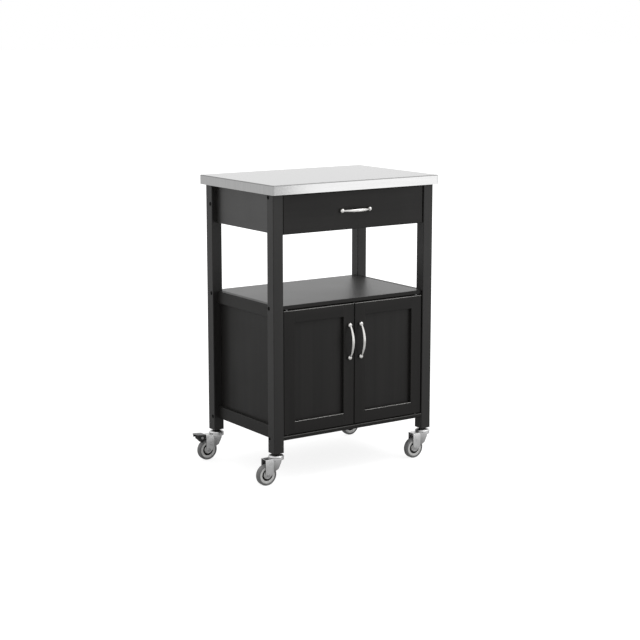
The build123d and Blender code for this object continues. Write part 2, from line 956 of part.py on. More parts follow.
def pedal_shoe():
    """The pedal's middle, between the ears, with a hollow face that swings onto the tyre."""
    grip = wheel_radius + brake_shoe_gap
    back = brake_x - skirt_lobe_back
    low = on_wheel(grip, brake_shoe_low)
    middle = on_wheel(grip, (brake_shoe_low + brake_shoe_high) / 2)
    high = on_wheel(grip, brake_shoe_high)
    inside_plate = pedal_thickness / 2
    outline = Curve() + [
        ThreePointArc(low, middle, high),
        Polyline(
            high,
            (pedal_front, brake_z - skirt_front_drop),
            (pedal_front, plate_top(pedal_front) - inside_plate),
            (back, plate_top(back) - inside_plate),
            (back, brake_z - skirt_lobe_corner),
            low,
        ),
    ]
    return extrude(Plane.XZ * make_face(outline), fork_inside / 2 - brake_side_play, both=True)


def brake_pedal():
    """A foot pedal on the brake pin: plate, skirts and shoe in one piece."""
    body = pedal_plate() + pedal_skirts() + pedal_shoe()
    return body - along_y(
        brake_pin_diameter / 2 + axle_play, -skirt_outside, skirt_outside, brake_x, brake_z
    )


def at_leg(side, end, solid):
    """Set a caster piece under a leg."""
    return Pos(side * leg_x, end * leg_y, 0) * solid


# The named pieces of the cart

def group(solids):
    """Several separate solids kept together under one name."""
    return Compound(children=list(solids))


def pieces():
    """Every named piece of the cart at rest, with doors and drawer shut."""
    side_names = {LEFT: "left", RIGHT: "right"}
    end_names = {FRONT: "front", BACK: "back"}
    made = {
        "worktop_skin": worktop_skin(),
        "worktop_core": worktop_core(),
        "apron_back": apron_back(),
        "front_stretcher": front_stretcher(),
        "middle_shelf": middle_shelf(),
        "base_board": base_board(),
        "back_panel": back_panel_space(panel_reach, 0),
        "drawer_runners": group(drawer_runners()),
        "runner_glides": group(runner_glides()),
        "frame_bolts": group(frame_bolts()),
        "door_catches": group(door_catches()),
        "door_bushes": group(door_bushes()),
        "caster_stems": group(at_leg(*corner, caster_stem()) for corner in corners()),
        "stem_collars": group(at_leg(*corner, stem_collar()) for corner in corners()),
        "swivel_bearings": group(at_leg(*corner, swivel_bearing()) for corner in corners()),
        "drawer_front": drawer_front(),
        "drawer_sides": group(drawer_sides()),
        "drawer_back": drawer_back_board(),
        "drawer_bottom": drawer_bottom_space(panel_reach, 0),
        "drawer_handle": drawer_handle(),
        "drawer_rails": group(drawer_rails()),
        "drawer_glides": group(drawer_glides()),
    }
    for side, name in side_names.items():
        made[f"apron_{name}"] = apron(side)
        made[f"side_rails_{name}"] = group(side_rails(side))
        made[f"side_panel_{name}"] = side_panel_space(side, panel_reach, 0)
        made[f"door_stiles_{name}"] = group(door_stiles(side))
        made[f"door_rails_{name}"] = group(door_rails(side))
        made[f"door_panel_{name}"] = door_panel_space(side, panel_reach, 0)
        made[f"door_handle_{name}"] = door_handle(side)
        made[f"door_fittings_{name}"] = group(door_fittings(side))
    for side, end in corners():
        place = f"{end_names[end]}_{side_names[side]}"
        braked = end == BACK
        made[f"leg_{place}"] = leg(side, end)
        made[f"caster_fork_{place}"] = at_leg(side, end, caster_fork(braked))
        made[f"caster_pins_{place}"] = group(at_leg(side, end, pin) for pin in caster_pins(braked))
        made[f"caster_wheel_{place}"] = at_leg(side, end, caster_wheel())
        made[f"caster_tyre_{place}"] = at_leg(side, end, caster_tyre())
        if braked:
            made[f"brake_pedal_{place}"] = at_leg(side, end, brake_pedal())
    return made


os.makedirs("parts", exist_ok=True)
for node, solid in pieces().items():
    export_step(solid, f"parts/{node}.step")
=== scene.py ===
"""The looks of the kitchen cart: finishes, fine pieces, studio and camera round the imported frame."""
import json
import logging
import math
from dataclasses import dataclass, field
from enum import Enum
from typing import ClassVar, Iterable, Mapping, Sequence

import bmesh
import bpy
from mathutils import Euler, Matrix, Vector

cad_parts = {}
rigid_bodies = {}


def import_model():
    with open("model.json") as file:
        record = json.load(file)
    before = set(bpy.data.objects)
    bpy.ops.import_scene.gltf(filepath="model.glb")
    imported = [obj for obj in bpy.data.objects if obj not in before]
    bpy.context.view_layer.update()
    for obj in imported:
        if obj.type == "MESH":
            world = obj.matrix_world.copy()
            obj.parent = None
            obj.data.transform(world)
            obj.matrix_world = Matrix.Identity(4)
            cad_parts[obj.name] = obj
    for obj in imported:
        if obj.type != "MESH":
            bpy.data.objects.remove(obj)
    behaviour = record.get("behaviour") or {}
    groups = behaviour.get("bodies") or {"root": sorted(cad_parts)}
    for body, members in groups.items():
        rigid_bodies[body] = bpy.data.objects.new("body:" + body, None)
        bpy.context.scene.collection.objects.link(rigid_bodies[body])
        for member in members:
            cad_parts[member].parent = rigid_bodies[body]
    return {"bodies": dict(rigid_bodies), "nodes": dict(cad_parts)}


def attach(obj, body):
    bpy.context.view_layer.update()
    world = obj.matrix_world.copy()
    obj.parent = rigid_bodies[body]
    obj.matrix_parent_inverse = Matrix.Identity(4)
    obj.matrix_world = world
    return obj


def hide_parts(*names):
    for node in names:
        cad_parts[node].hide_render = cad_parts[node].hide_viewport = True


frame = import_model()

LOG = logging.getLogger("kitchen_cart")


def clear_room() -> None:
    """Take away whatever an empty file starts with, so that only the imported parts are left."""
    kept = set(frame["nodes"].values()) | set(frame["bodies"].values())
    for stray in set(bpy.data.objects) - kept:
        bpy.data.objects.remove(stray)


clear_room()
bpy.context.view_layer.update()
MM = 0.001
FLANK_SHADE = "drawn"  # point attribute of a fork: how much painted shade darkens its flanks
AIM = "aim"  # point attribute of a bolt or screw: where it looks
UP, DOWN = (0.0, 0.0, 1.0), (0.0, 0.0, -1.0)
ORIGIN = (0.0, 0.0, 0.0)
STEM_X, STEM_Y = 263.5, 166.5  # the casters' stems, from the middle of the cart
QUARTER = math.pi / 2
STRAIGHT = 0.02  # a corner nearer than this to a straight line, in radians, isn't rounded

Colour = tuple[float, float, float]
Point = tuple[float, float, float]
Corner = tuple[float, float, float]  # two coordinates and a radius
Pair = tuple[float, float]
Spot = tuple[Point, Point]  # a place and the direction that it looks in
Socket = bpy.types.NodeSocket
Inputs, Outputs = bpy.types.NodeInputs, bpy.types.NodeOutputs
Mesh = bpy.types.Mesh
Feed = Socket | float | int | bool | str | tuple | bpy.types.Material


class Run(Enum):
    """Which way grain or brushing runs, as the squeeze of its pattern along x, y and z."""

    ACROSS = (0.04, 1.0, 1.0)
    DEEP = (1.0, 0.04, 1.0)
    UPRIGHT = (1.0, 1.0, 0.04)


class Side(Enum):
    """The two sides of the cart, by the sign of x."""

    LEFT = -1
    RIGHT = 1


class End(Enum):
    """The front and the back of the cart, by the sign of y."""

    FRONT = -1
    BACK = 1


class NodePen:
    """Draws nodes into one tree and feeds their sockets."""

    def __init__(self, tree: bpy.types.NodeTree) -> None:
        """Start on a tree."""
        self.tree = tree

    @classmethod
    def on_blank(cls, holder: bpy.types.Material | bpy.types.World) -> "NodePen":
        """Clear the tree of a material or world and start on it.

        Args:
            holder: The material or world.

        Returns:
            The pen.
        """
        holder.use_nodes = True
        holder.node_tree.nodes.clear()
        return cls(holder.node_tree)

    def sockets(self, way: str, kinds: Mapping[str, str]) -> None:
        """Give the tree its own inputs or outputs, by name and kind."""
        for name, kind in kinds.items():
            self.tree.interface.new_socket(name, in_out=way, socket_type=f"NodeSocket{kind}")

    def feed(self, socket: Socket, feed: Feed) -> None:
        """Give a socket a link or a plain value.

        Args:
            socket: The input that is fed.
            feed: Another node's output, or the value itself.
        """
        if isinstance(feed, Socket):
            self.tree.links.new(feed, socket)
        else:
            socket.default_value = (*feed, 1.0) if socket.type == "RGBA" else feed

    def node(self, kind: str, feeds: Mapping[str | int, Feed] | None = None, **settings: object) -> bpy.types.Node:
        """Add a node.

        Args:
            kind: The node's type name.
            feeds: Values or links for its inputs, by socket name or number.
            **settings: The node's own properties.

        Returns:
            The new node.
        """
        node = self.tree.nodes.new(kind)
        for name, value in settings.items():
            setattr(node, name, value)
        for key, feed in (feeds or {}).items():
            self.feed(node.inputs[key], feed)
        return node

    def out(self, kind: str, feeds: Mapping[str | int, Feed] | None = None, **settings: object) -> Socket:
        """Add a node and take its first output."""
        return self.node(kind, feeds, **settings).outputs[0]

    def math(self, operation: str, *terms: Feed) -> Socket:
        """Work out one sum of its terms in order."""
        return self.out("ShaderNodeMath", dict(enumerate(terms)), operation=operation)

    def times(self, first: Feed, second: Feed) -> Socket:
        """Multiply two values."""
        return self.math("MULTIPLY", first, second)

    def half(self, value: Feed) -> Socket:
        """Halve a value."""
        return self.times(value, 0.5)

    def vector_math(self, operation: str, *terms: Feed) -> bpy.types.Node:
        """Work out one vector sum, whose outputs are the vector and the value."""
        return self.node("ShaderNodeVectorMath", dict(enumerate(terms)), operation=operation)

    def spread(self, value: Feed, low: Feed, high: Feed, start: float = 0.0, stop: float = 1.0) -> Socket:
        """Carry a value from the range start to stop over to low to high, and keep it in there."""
        return self.out("ShaderNodeMapRange", {0: value, 1: start, 2: stop, 3: low, 4: high})

    def blend(self, factor: Feed, first: Feed, second: Feed) -> Socket:
        """Mix two colours by the share of the second."""
        return self.node("ShaderNodeMix", {0: factor, 6: first, 7: second}, data_type="RGBA").outputs[2]

    def noise(self, vector: Feed, scale: Feed, detail: float) -> Socket:
        """Add a cloud pattern from 0 to 1, with so many cells in a metre and so many finer layers."""
        return self.out("ShaderNodeTexNoise", {"Vector": vector, "Scale": scale, "Detail": detail})

    def clouds(
        self, vector: Feed, scale: Feed, detail: float, low: float = 0.0, start: float = 0.3, stop: float = 0.7
    ) -> Socket:
        """Add a cloud pattern whose range from start to stop is stretched out from low to 1."""
        return self.spread(self.noise(vector, scale, detail), low, 1.0, start, stop)

    def xyz(self, x: Feed, y: Feed, z: Feed) -> Socket:
        """Join three numbers to a vector."""
        return self.out("ShaderNodeCombineXYZ", {0: x, 1: y, 2: z})

    def face(self) -> Socket:
        """Read the normal of the surface itself."""
        return self.node("ShaderNodeNewGeometry").outputs["Normal"]

    def up(self, vector: Feed) -> Socket:
        """Read how far a vector points up."""
        return self.node("ShaderNodeSeparateXYZ", {0: vector}).outputs["Z"]

    def lift(self, form: Feed, height: Feed) -> Socket:
        """Move a form up its own z."""
        return self.out("GeometryNodeTransform", {"Geometry": form, "Translation": self.xyz(0.0, 0.0, height)})

    def join(self, *forms: Feed) -> Socket:
        """Make one geometry of several.

        Args:
            *forms: The geometries.

        Returns:
            All of them together.
        """
        joint = self.node("GeometryNodeJoinGeometry")
        for form in forms:
            self.feed(joint.inputs[0], form)
        return joint.outputs[0]


class Effect:
    """A surface effect that several finishes share, kept as one shader node group."""

    title: ClassVar[str] = ""
    inputs: ClassVar[dict[str, str]] = {}
    outputs: ClassVar[dict[str, str]] = {}

    @classmethod
    def draw(cls, pen: NodePen, ins: Outputs, outs: Inputs) -> None:
        """Draw the group's nodes.

        Args:
            pen: The pen on the group's tree.
            ins: The group's inputs, to read from.
            outs: The group's outputs, to feed.
        """
        raise NotImplementedError

    @classmethod
    def group(cls) -> bpy.types.NodeTree:
        """Build the effect's node group on first use.

        Returns:
            The group.
        """
        tree = bpy.data.node_groups.get(cls.title)
        if tree is None:
            tree = bpy.data.node_groups.new(cls.title, "ShaderNodeTree")
            pen = NodePen(tree)
            pen.sockets("INPUT", cls.inputs)
            pen.sockets("OUTPUT", cls.outputs)
            cls.draw(pen, pen.node("NodeGroupInput").outputs, pen.node("NodeGroupOutput").inputs)
        return tree

    @classmethod
    def place(cls, pen: NodePen, **values: Feed) -> Outputs:
        """Put the effect into a material with its inputs by name, and take its outputs."""
        return pen.node("ShaderNodeGroup", values, node_tree=cls.group()).outputs


class Grain(Effect):
    """Wood fibres that show faintly through paint, long in one direction."""

    title = "grain"
    inputs = {"Where": "Vector", "Squeeze": "Vector", "Scale": "Float"}
    outputs = {"Height": "Float", "Tone": "Float"}
    streak_share: ClassVar[float] = 0.18
    fibre_detail: ClassVar[float] = 4.0
    streak_detail: ClassVar[float] = 3.0

    @classmethod
    def draw(cls, pen: NodePen, ins: Outputs, outs: Inputs) -> None:
        """Draw fine fibres for the height and broad streaks for the tone.

        Args:
            pen: The pen on the group's tree.
            ins: The group's inputs.
            outs: The group's outputs.
        """
        along = pen.vector_math("MULTIPLY", ins["Where"], ins["Squeeze"]).outputs[0]
        pen.feed(outs["Height"], pen.noise(along, ins["Scale"], cls.fibre_detail))
        pen.feed(outs["Tone"], pen.clouds(along, pen.times(ins["Scale"], cls.streak_share), cls.streak_detail))


class Film(Effect):
    """The skin of a sprayed or moulded surface: fine ripples and slow changes of gloss."""

    title = "film"
    inputs = {"Where": "Vector", "Scale": "Float"}
    outputs = {"Height": "Float", "Gloss": "Float"}
    patch_scale: ClassVar[float] = 9.0
    patch_detail: ClassVar[float] = 3.0
    ripple_detail: ClassVar[float] = 1.0

    @classmethod
    def draw(cls, pen: NodePen, ins: Outputs, outs: Inputs) -> None:
        """Draw ripples for the height and broad patches for the gloss."""
        pen.feed(outs["Height"], pen.noise(ins["Where"], ins["Scale"], cls.ripple_detail))
        pen.feed(outs["Gloss"], pen.clouds(ins["Where"], cls.patch_scale, cls.patch_detail))


class EdgeRub(Effect):
    """The rounding of an edge, the light rub along it, and a mask for a painted highlight where it looks up."""

    title = "edge_rub"
    inputs = {"Where": "Vector", "Radius": "Float"}
    outputs = {"Mask": "Float", "Ledge": "Float", "Normal": "Vector"}
    bend_range: ClassVar[Pair] = (0.82, 0.99)
    samples: ClassVar[int] = 6
    chip_scale: ClassVar[float] = 70.0
    chip_detail: ClassVar[float] = 3.0
    chip_least: ClassVar[float] = 0.15
    chip_range: ClassVar[Pair] = (0.4, 0.65)
    upward_range: ClassVar[Pair] = (0.2, 0.5)
    level_range: ClassVar[Pair] = (0.2, 0.8)

    @classmethod
    def draw(cls, pen: NodePen, ins: Outputs, outs: Inputs) -> None:
        """Draw the rounded normal, a broken mask where it leaves the face's own, and a mask for painted highlights
        where it looks up.

        Args:
            pen: The pen on the group's tree.
            ins: The group's inputs.
            outs: The group's outputs.
        """
        soft = pen.out("ShaderNodeBevel", {"Radius": ins["Radius"]}, samples=cls.samples)
        plain = pen.face()
        alike = pen.vector_math("DOT_PRODUCT", soft, plain).outputs["Value"]
        bend = pen.spread(alike, 1.0, 0.0, *cls.bend_range)
        chips = pen.clouds(ins["Where"], cls.chip_scale, cls.chip_detail, cls.chip_least, *cls.chip_range)
        # the next two masks pick the upward edges of upright faces, where a pale highlight is painted
        upward = pen.spread(pen.up(soft), 0.0, 1.0, *cls.upward_range)
        upright = pen.spread(pen.up(plain), 1.0, 0.0, *cls.level_range)
        pen.feed(outs["Mask"], pen.times(bend, chips))
        pen.feed(outs["Ledge"], pen.times(upward, upright))
        pen.feed(outs["Normal"], soft)


class Brushing(Effect):
    """Fine parallel scratches of a brushed sheet."""

    title = "brushing"
    inputs = {"Where": "Vector", "Squeeze": "Vector", "Scale": "Float"}
    outputs = {"Height": "Float", "Tone": "Float"}
    band_share: ClassVar[float] = 0.07
    hair_detail: ClassVar[float] = 2.0
    hair_weight: ClassVar[float] = 0.6
    tone_range: ClassVar[Pair] = (0.32, 0.68)

    @classmethod
    def draw(cls, pen: NodePen, ins: Outputs, outs: Inputs) -> None:
        """Draw hair lines for the height, and mix in wider bands for the tone.

        Args:
            pen: The pen on the group's tree.
            ins: The group's inputs.
            outs: The group's outputs.
        """
        along = pen.vector_math("MULTIPLY", ins["Where"], ins["Squeeze"]).outputs[0]
        hairs = pen.noise(along, ins["Scale"], cls.hair_detail)
        bands = pen.noise(along, pen.times(ins["Scale"], cls.band_share), cls.hair_detail)
        mixed = pen.math("ADD", pen.times(hairs, cls.hair_weight), pen.times(bands, 1.0 - cls.hair_weight))
        pen.feed(outs["Height"], hairs)
        pen.feed(outs["Tone"], pen.spread(mixed, 0.0, 1.0, *cls.tone_range))


class Dust(Effect):
    """A thin settling of dust on what faces up."""

    title = "dust"
    inputs = {"Where": "Vector", "Amount": "Float"}
    outputs = {"Mask": "Float"}
    level_range: ClassVar[Pair] = (0.5, 0.95)
    cloud_scale: ClassVar[float] = 14.0
    cloud_detail: ClassVar[float] = 6.0
    cloud_least: ClassVar[float] = 0.2
    cloud_range: ClassVar[Pair] = (0.35, 0.7)

    @classmethod
    def draw(cls, pen: NodePen, ins: Outputs, outs: Inputs) -> None:
        """Draw clouds on the faces that look up.

        Args:
            pen: The pen on the group's tree.
            ins: The group's inputs.
            outs: The group's outputs.
        """
        level = pen.spread(pen.up(pen.face()), 0.0, 1.0, *cls.level_range)
        clouds = pen.clouds(ins["Where"], cls.cloud_scale, cls.cloud_detail, cls.cloud_least, *cls.cloud_range)
        pen.feed(outs["Mask"], pen.times(level, pen.times(clouds, ins["Amount"])))


@dataclass(frozen=True)
class Finish:
    """A surface finish, made as one material.

    Two colours that its pattern mixes, the roughness with its play, and the constants of the shader.
    """

    name: str
    colour: Colour
    second: Colour
    roughness: float
    roughness_play: float = 0.05
    metallic: float = 0.0
    ior: float = 1.45
    edge_round: float = 0.0007
    bump: float = 0.00004

    def material(self) -> bpy.types.Material:
        """Make the finish's material on first use.

        Returns:
            The material.
        """
        material = bpy.data.materials.get(self.name)
        if material is None:
            material = bpy.data.materials.new(self.name)
            pen = NodePen.on_blank(material)
            where = pen.node("ShaderNodeTexCoord").outputs["Object"]
            shader = pen.node("ShaderNodeBsdfPrincipled", {"Metallic": self.metallic, "IOR": self.ior})
            self.draw(pen, where, shader.inputs)
            pen.node("ShaderNodeOutputMaterial", {"Surface": shader.outputs[0]})
        return material

    def draw(self, pen: NodePen, where: Socket, surface: Inputs) -> None:
        """Draw the pattern and feed the shader.

        Args:
            pen: The pen on the material's tree.
            where: Object coordinates.
            surface: The shader's inputs.
        """
        raise NotImplementedError

    def matt(self, pen: NodePen, gloss: Feed) -> Socket:
        """Set the roughness within its play by a gloss from 0 to 1."""
        return pen.spread(gloss, self.roughness - self.roughness_play, self.roughness + self.roughness_play)

    def lay(self, pen: NodePen, surface: Inputs, colour: Feed, matt: Feed, height: Feed, normal: Feed) -> None:
        """Feed the shader from a finished pattern.

        Args:
            pen: The pen on the material's tree.
            surface: The shader's inputs.
            colour: The colour over the surface.
            matt: The roughness over the surface.
            height: The relief over the surface.
            normal: The normal that the relief stands on.
        """
        relief = {"Strength": 1.0, "Distance": self.bump, "Height": height, "Normal": normal}
        pen.feed(surface["Base Color"], colour)
        pen.feed(surface["Roughness"], matt)
        pen.feed(surface["Normal"], pen.out("ShaderNodeBump", relief))


@dataclass(frozen=True)
class Lacquer(Finish):
    """Sprayed satin lacquer over wood, with faint grain, rubbed edges and a little dust.

    It may also have a pale painted highlight along the edges that look up, and a clear coat on its level faces.
    """

    run: Run = Run.ACROSS
    worn: Colour = (0.03, 0.028, 0.026)
    dust: float = 0.02
    # share of the pale highlight painted along upward edges
    ledge: float = 0.0
    clear_coat: float = 0.0
    grain_scale: ClassVar[float] = 260.0
    grain_share: ClassVar[float] = 0.7
    ripple_scale: ClassVar[float] = 420.0
    rub_share: ClassVar[float] = 0.6
    coat_range: ClassVar[Pair] = (0.5, 0.9)
    dust_colour: ClassVar[Colour] = (0.32, 0.31, 0.30)
    # colour of that painted highlight
    ledge_colour: ClassVar[Colour] = (0.8, 0.79, 0.77)

    def draw(self, pen: NodePen, where: Socket, surface: Inputs) -> None:
        """Draw grain under a rippled film, with rubbed edges, a pale painted highlight along upward edges, and dust
        over it.

        Args:
            pen: The pen on the material's tree.
            where: Object coordinates.
            surface: The shader's inputs.
        """
        grain = Grain.place(pen, Where=where, Squeeze=self.run.value, Scale=self.grain_scale)
        film = Film.place(pen, Where=where, Scale=self.ripple_scale)
        edge = EdgeRub.place(pen, Where=where, Radius=self.edge_round)
        dust = Dust.place(pen, Where=where, Amount=self.dust)
        colour = pen.blend(grain["Tone"], self.colour, self.second)
        colour = pen.blend(pen.times(edge["Mask"], self.rub_share), colour, self.worn)
        # painted highlight: a pale colour along edges that look up
        if self.ledge:
            colour = pen.blend(pen.times(edge["Ledge"], self.ledge), colour, self.ledge_colour)
        colour = pen.blend(dust["Mask"], colour, self.dust_colour)
        if self.clear_coat:
            weight = pen.spread(pen.up(pen.face()), 0.0, self.clear_coat, *self.coat_range)
            pen.feed(surface["Coat Weight"], weight)
            pen.feed(surface["Coat Roughness"], self.roughness)
        height = pen.math("ADD", pen.times(grain["Height"], self.grain_share), film["Height"])
        self.lay(pen, surface, colour, self.matt(pen, film["Gloss"]), height, edge["Normal"])


@dataclass(frozen=True)
class BrushedSheet(Finish):
    """Brushed sheet metal, whose hair lines run along one direction and down the folds at its ends."""

    run: Run = Run.ACROSS
    # colour of the folds: darker than the sheet as painted shade that dims their highlight
    bend: Colour = (0.28, 0.28, 0.28)
    bend_roughness: float = 0.6
    bend_range: ClassVar[Pair] = (0.02, 0.9995)
    fold_turn: ClassVar[float] = 0.7
    hair_scale: ClassVar[float] = 2600.0

    def draw(self, pen: NodePen, where: Socket, surface: Inputs) -> None:
        """Draw hair lines in colour, gloss and relief, and roughen the bends along the top and darken them as painted
        shade.

        Args:
            pen: The pen on the material's tree.
            where: Object coordinates.
            surface: The shader's inputs.
        """
        parts = pen.node("ShaderNodeSeparateXYZ", {0: pen.face()}).outputs
        folded = pen.math("GREATER_THAN", pen.math("ABSOLUTE", parts["X"]), self.fold_turn)
        upward = pen.math("ABSOLUTE", parts["Z"])
        least, most = self.bend_range
        # the folds between level and upright faces get the painted shade
        shaded_bend = pen.times(pen.math("GREATER_THAN", upward, least), pen.math("LESS_THAN", upward, most))
        flat = Brushing.place(pen, Where=where, Squeeze=self.run.value, Scale=self.hair_scale)
        down = Brushing.place(pen, Where=where, Squeeze=Run.UPRIGHT.value, Scale=self.hair_scale)
        tone = pen.spread(folded, flat["Tone"], down["Tone"])
        height = pen.spread(folded, flat["Height"], down["Height"])
        edge = EdgeRub.place(pen, Where=where, Radius=self.edge_round)
        colour = pen.blend(shaded_bend, pen.blend(tone, self.colour, self.second), self.bend)
        matt = pen.spread(shaded_bend, self.matt(pen, tone), self.bend_roughness)
        self.lay(pen, surface, colour, matt, height, edge["Normal"])


@dataclass(frozen=True)
class PlatedMetal(Finish):
    """Plated steel: clouded, finely grained, brighter at rubbed edges and darkened by painted shade where a fork's
    flanks are marked.
    """

    rubbed: Colour = (0.8, 0.8, 0.8)
    # colour of the painted shade on a fork's flanks
    drawn: Colour = (0.16, 0.155, 0.15)
    grit_scale: ClassVar[float] = 2200.0
    cloud_scale: ClassVar[float] = 60.0
    cloud_detail: ClassVar[float] = 4.0

    def draw(self, pen: NodePen, where: Socket, surface: Inputs) -> None:
        """Draw clouds in the colour, fine grit in the relief, rubbed edges, and painted shade on the marked flanks.

        Args:
            pen: The pen on the material's tree.
            where: Object coordinates.
            surface: The shader's inputs.
        """
        film = Film.place(pen, Where=where, Scale=self.grit_scale)
        edge = EdgeRub.place(pen, Where=where, Radius=self.edge_round)
        clouds = pen.clouds(where, self.cloud_scale, self.cloud_detail)
        colour = pen.blend(clouds, self.colour, self.second)
        colour = pen.blend(edge["Mask"], colour, self.rubbed)
        # the flank mark darkens the colour as painted shade
        shaded_flank = pen.node("ShaderNodeAttribute", attribute_name=FLANK_SHADE).outputs["Fac"]
        colour = pen.blend(shaded_flank, colour, self.drawn)
        self.lay(pen, surface, colour, self.matt(pen, clouds), film["Height"], edge["Normal"])


@dataclass(frozen=True)
class Moulded(Finish):
    """Moulded plastic or rubber: a fine stipple, faint mottling and dust on top."""

    stipple_scale: float = 1400.0
    scuff: Colour = (0.3, 0.3, 0.3)
    dust: float = 0.05
    scuff_share: ClassVar[float] = 0.5
    mottle_scale: ClassVar[float] = 180.0
    mottle_detail: ClassVar[float] = 4.0

    def draw(self, pen: NodePen, where: Socket, surface: Inputs) -> None:
        """Draw stipple in the relief and mottling, scuffed edges and dust in the colour.

        Args:
            pen: The pen on the material's tree.
            where: Object coordinates.
            surface: The shader's inputs.
        """
        film = Film.place(pen, Where=where, Scale=self.stipple_scale)
        edge = EdgeRub.place(pen, Where=where, Radius=self.edge_round)
        dust = Dust.place(pen, Where=where, Amount=self.dust)
        colour = pen.blend(pen.clouds(where, self.mottle_scale, self.mottle_detail), self.colour, self.second)
        colour = pen.blend(pen.times(edge["Mask"], self.scuff_share), colour, self.scuff)
        colour = pen.blend(dust["Mask"], colour, self.scuff)
        self.lay(pen, surface, colour, self.matt(pen, film["Gloss"]), film["Height"], edge["Normal"])


def grey(level: float) -> Colour:
    """A plain grey."""
    return (level, level, level)


BLACK: Colour = (0.0125, 0.012, 0.0115)
BLACK_STREAK: Colour = (0.0165, 0.0157, 0.015)


def black_lacquer(name: str, ior: float, **more: object) -> Lacquer:
    """Mix one of the cart's black lacquers.

    Args:
        name: The finish's name.
        ior: The refraction of its clear part, which sets how much it mirrors.
        **more: What departs from the usual spraying.

    Returns:
        The finish.
    """
    usual = {"roughness": 0.43, "roughness_play": 0.04, "edge_round": 0.0012}
    return Lacquer(name, BLACK, BLACK_STREAK, ior=ior, **(usual | more))


LACQUER = {run: black_lacquer(f"black_lacquer_{run.name.lower()}", 1.28, run=run) for run in Run}
LEG_LACQUER = black_lacquer("leg_lacquer", 1.4, roughness=0.42, run=Run.UPRIGHT)
APRON_LACQUER = black_lacquer("apron_lacquer", 1.62, roughness=0.42, run=Run.DEEP)
# these boards get a pale painted highlight along their upward edges
LEDGE_HIGHLIGHT_LACQUER = black_lacquer("ledge_lacquer", 1.25, edge_round=0.003, ledge=1.0)
BASE_LACQUER = black_lacquer("base_lacquer", 1.25, edge_round=0.003, ledge=0.3)
STILE_LACQUER = black_lacquer("stile_lacquer", 1.25, edge_round=0.002, run=Run.UPRIGHT, ledge=1.0)
SHELF_LACQUER = black_lacquer(
    "shelf_lacquer", 1.25, roughness=0.4, roughness_play=0.015, edge_round=0.001, bump=0.00001, dust=0.004,
    clear_coat=0.62,
)
DRAWER_LACQUER = Lacquer(
    "matt_black_board", (0.012, 0.0115, 0.011), (0.02, 0.019, 0.018), 0.55, 0.06, ior=1.4, run=Run.DEEP
)
CORE_BOARD = Lacquer("core_board", (0.36, 0.25, 0.15), (0.47, 0.34, 0.21), 0.75, 0.08)
WORKTOP_STEEL = BrushedSheet(
    "brushed_steel_top", grey(0.37), grey(0.44), 0.13, 0.03, 1.0, edge_round=0.00012, bump=0.000012
)
RUNNER_STEEL = BrushedSheet("runner_steel", (0.5, 0.51, 0.52), (0.62, 0.63, 0.64), 0.34, 0.06, 1.0, run=Run.DEEP)
NICKEL = PlatedMetal("satin_nickel", (0.66, 0.65, 0.63), (0.76, 0.75, 0.73), 0.24, 0.05, 1.0, bump=0.000006)
ZINC = PlatedMetal("bright_zinc", grey(0.6), grey(0.67), 0.3, 0.05, 1.0, bump=0.000003)
HINGE_STEEL = PlatedMetal("hinge_steel", grey(0.02), grey(0.035), 0.4, 0.06, 1.0, rubbed=grey(0.06), bump=0.00001)
PIN_STEEL = PlatedMetal("pin_steel", grey(0.36), grey(0.44), 0.45, 0.06, 1.0, bump=0.000003)
# black bolt heads, darkened further as painted shade of the bores they sit in
SHADED_BLACK_BOLT = PlatedMetal("blackened_bolt", grey(0.003), grey(0.006), 0.5, 0.06, ior=1.2, rubbed=grey(0.02))
TYRE = Moulded("grey_tyre", grey(0.16), grey(0.2), 0.5, 0.07, stipple_scale=2600.0, dust=0.12)
WHEEL = Moulded("pale_wheel", (0.62, 0.62, 0.61), (0.69, 0.69, 0.68), 0.36, 0.06, scuff=(0.72, 0.72, 0.71))
WEB = Moulded("dark_web", grey(0.005), grey(0.009), 0.5, 0.06, ior=1.3, scuff=grey(0.02))
COLLAR = Moulded("black_collar", grey(0.01), grey(0.016), 0.42, scuff=grey(0.06))
PEDAL = Moulded("brake_black", (0.012, 0.012, 0.013), (0.02, 0.02, 0.021), 0.26, ior=1.55, scuff=grey(0.08))
PLATE = Moulded("pedal_plate", grey(0.09), grey(0.12), 0.34, 0.05, ior=1.55, scuff=grey(0.25))
CATCH = Moulded("catch_brown", (0.05, 0.03, 0.02), (0.07, 0.045, 0.03), 0.4, scuff=(0.15, 0.11, 0.08))
NYLON = Moulded("white_nylon", (0.66, 0.66, 0.63), (0.72, 0.72, 0.69), 0.38, scuff=(0.8, 0.8, 0.78))


def dress(finish: Finish, *nodes: str) -> None:
    """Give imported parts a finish.

    Args:
        finish: The finish.
        *nodes: The parts' names.
    """
    for node in nodes:
        for slot in frame["nodes"][node].material_slots:
            slot.material = finish.material()
        LOG.info("part %s in %s", node, finish.name)


def put(name: str, data: bpy.types.ID) -> bpy.types.Object:
    """Put a mesh, lamp or camera into the scene.

    Args:
        name: The object's name.
        data: What it shows.

    Returns:
        The object, at the origin.
    """
    thing = bpy.data.objects.new(name, data)
    bpy.context.scene.collection.objects.link(thing)
    return thing


@dataclass(frozen=True)
class Seat:
    """Where a new piece belongs: its body, its material slot and the parts that it stands for."""

    body: str
    slot: str
    nodes: tuple[str, ...] = ()


def set_piece(name: str, mesh: Mesh, finish: Finish, seat: Seat) -> None:
    """Put a finished mesh on the cart.

    Args:
        name: The piece's name.
        mesh: Its mesh, in metres in the cart's frame.
        finish: Its finish.
        seat: Where it belongs.
    """
    mesh.name = name
    mesh.materials.clear()
    mesh.materials.append(finish.material())
    piece = put(name, mesh)
    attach(piece, seat.body)
    if seat.nodes:
        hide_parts(*seat.nodes)
    LOG.info("piece %s on %s: %d faces in %s", name, seat.body, len(mesh.polygons), finish.name)


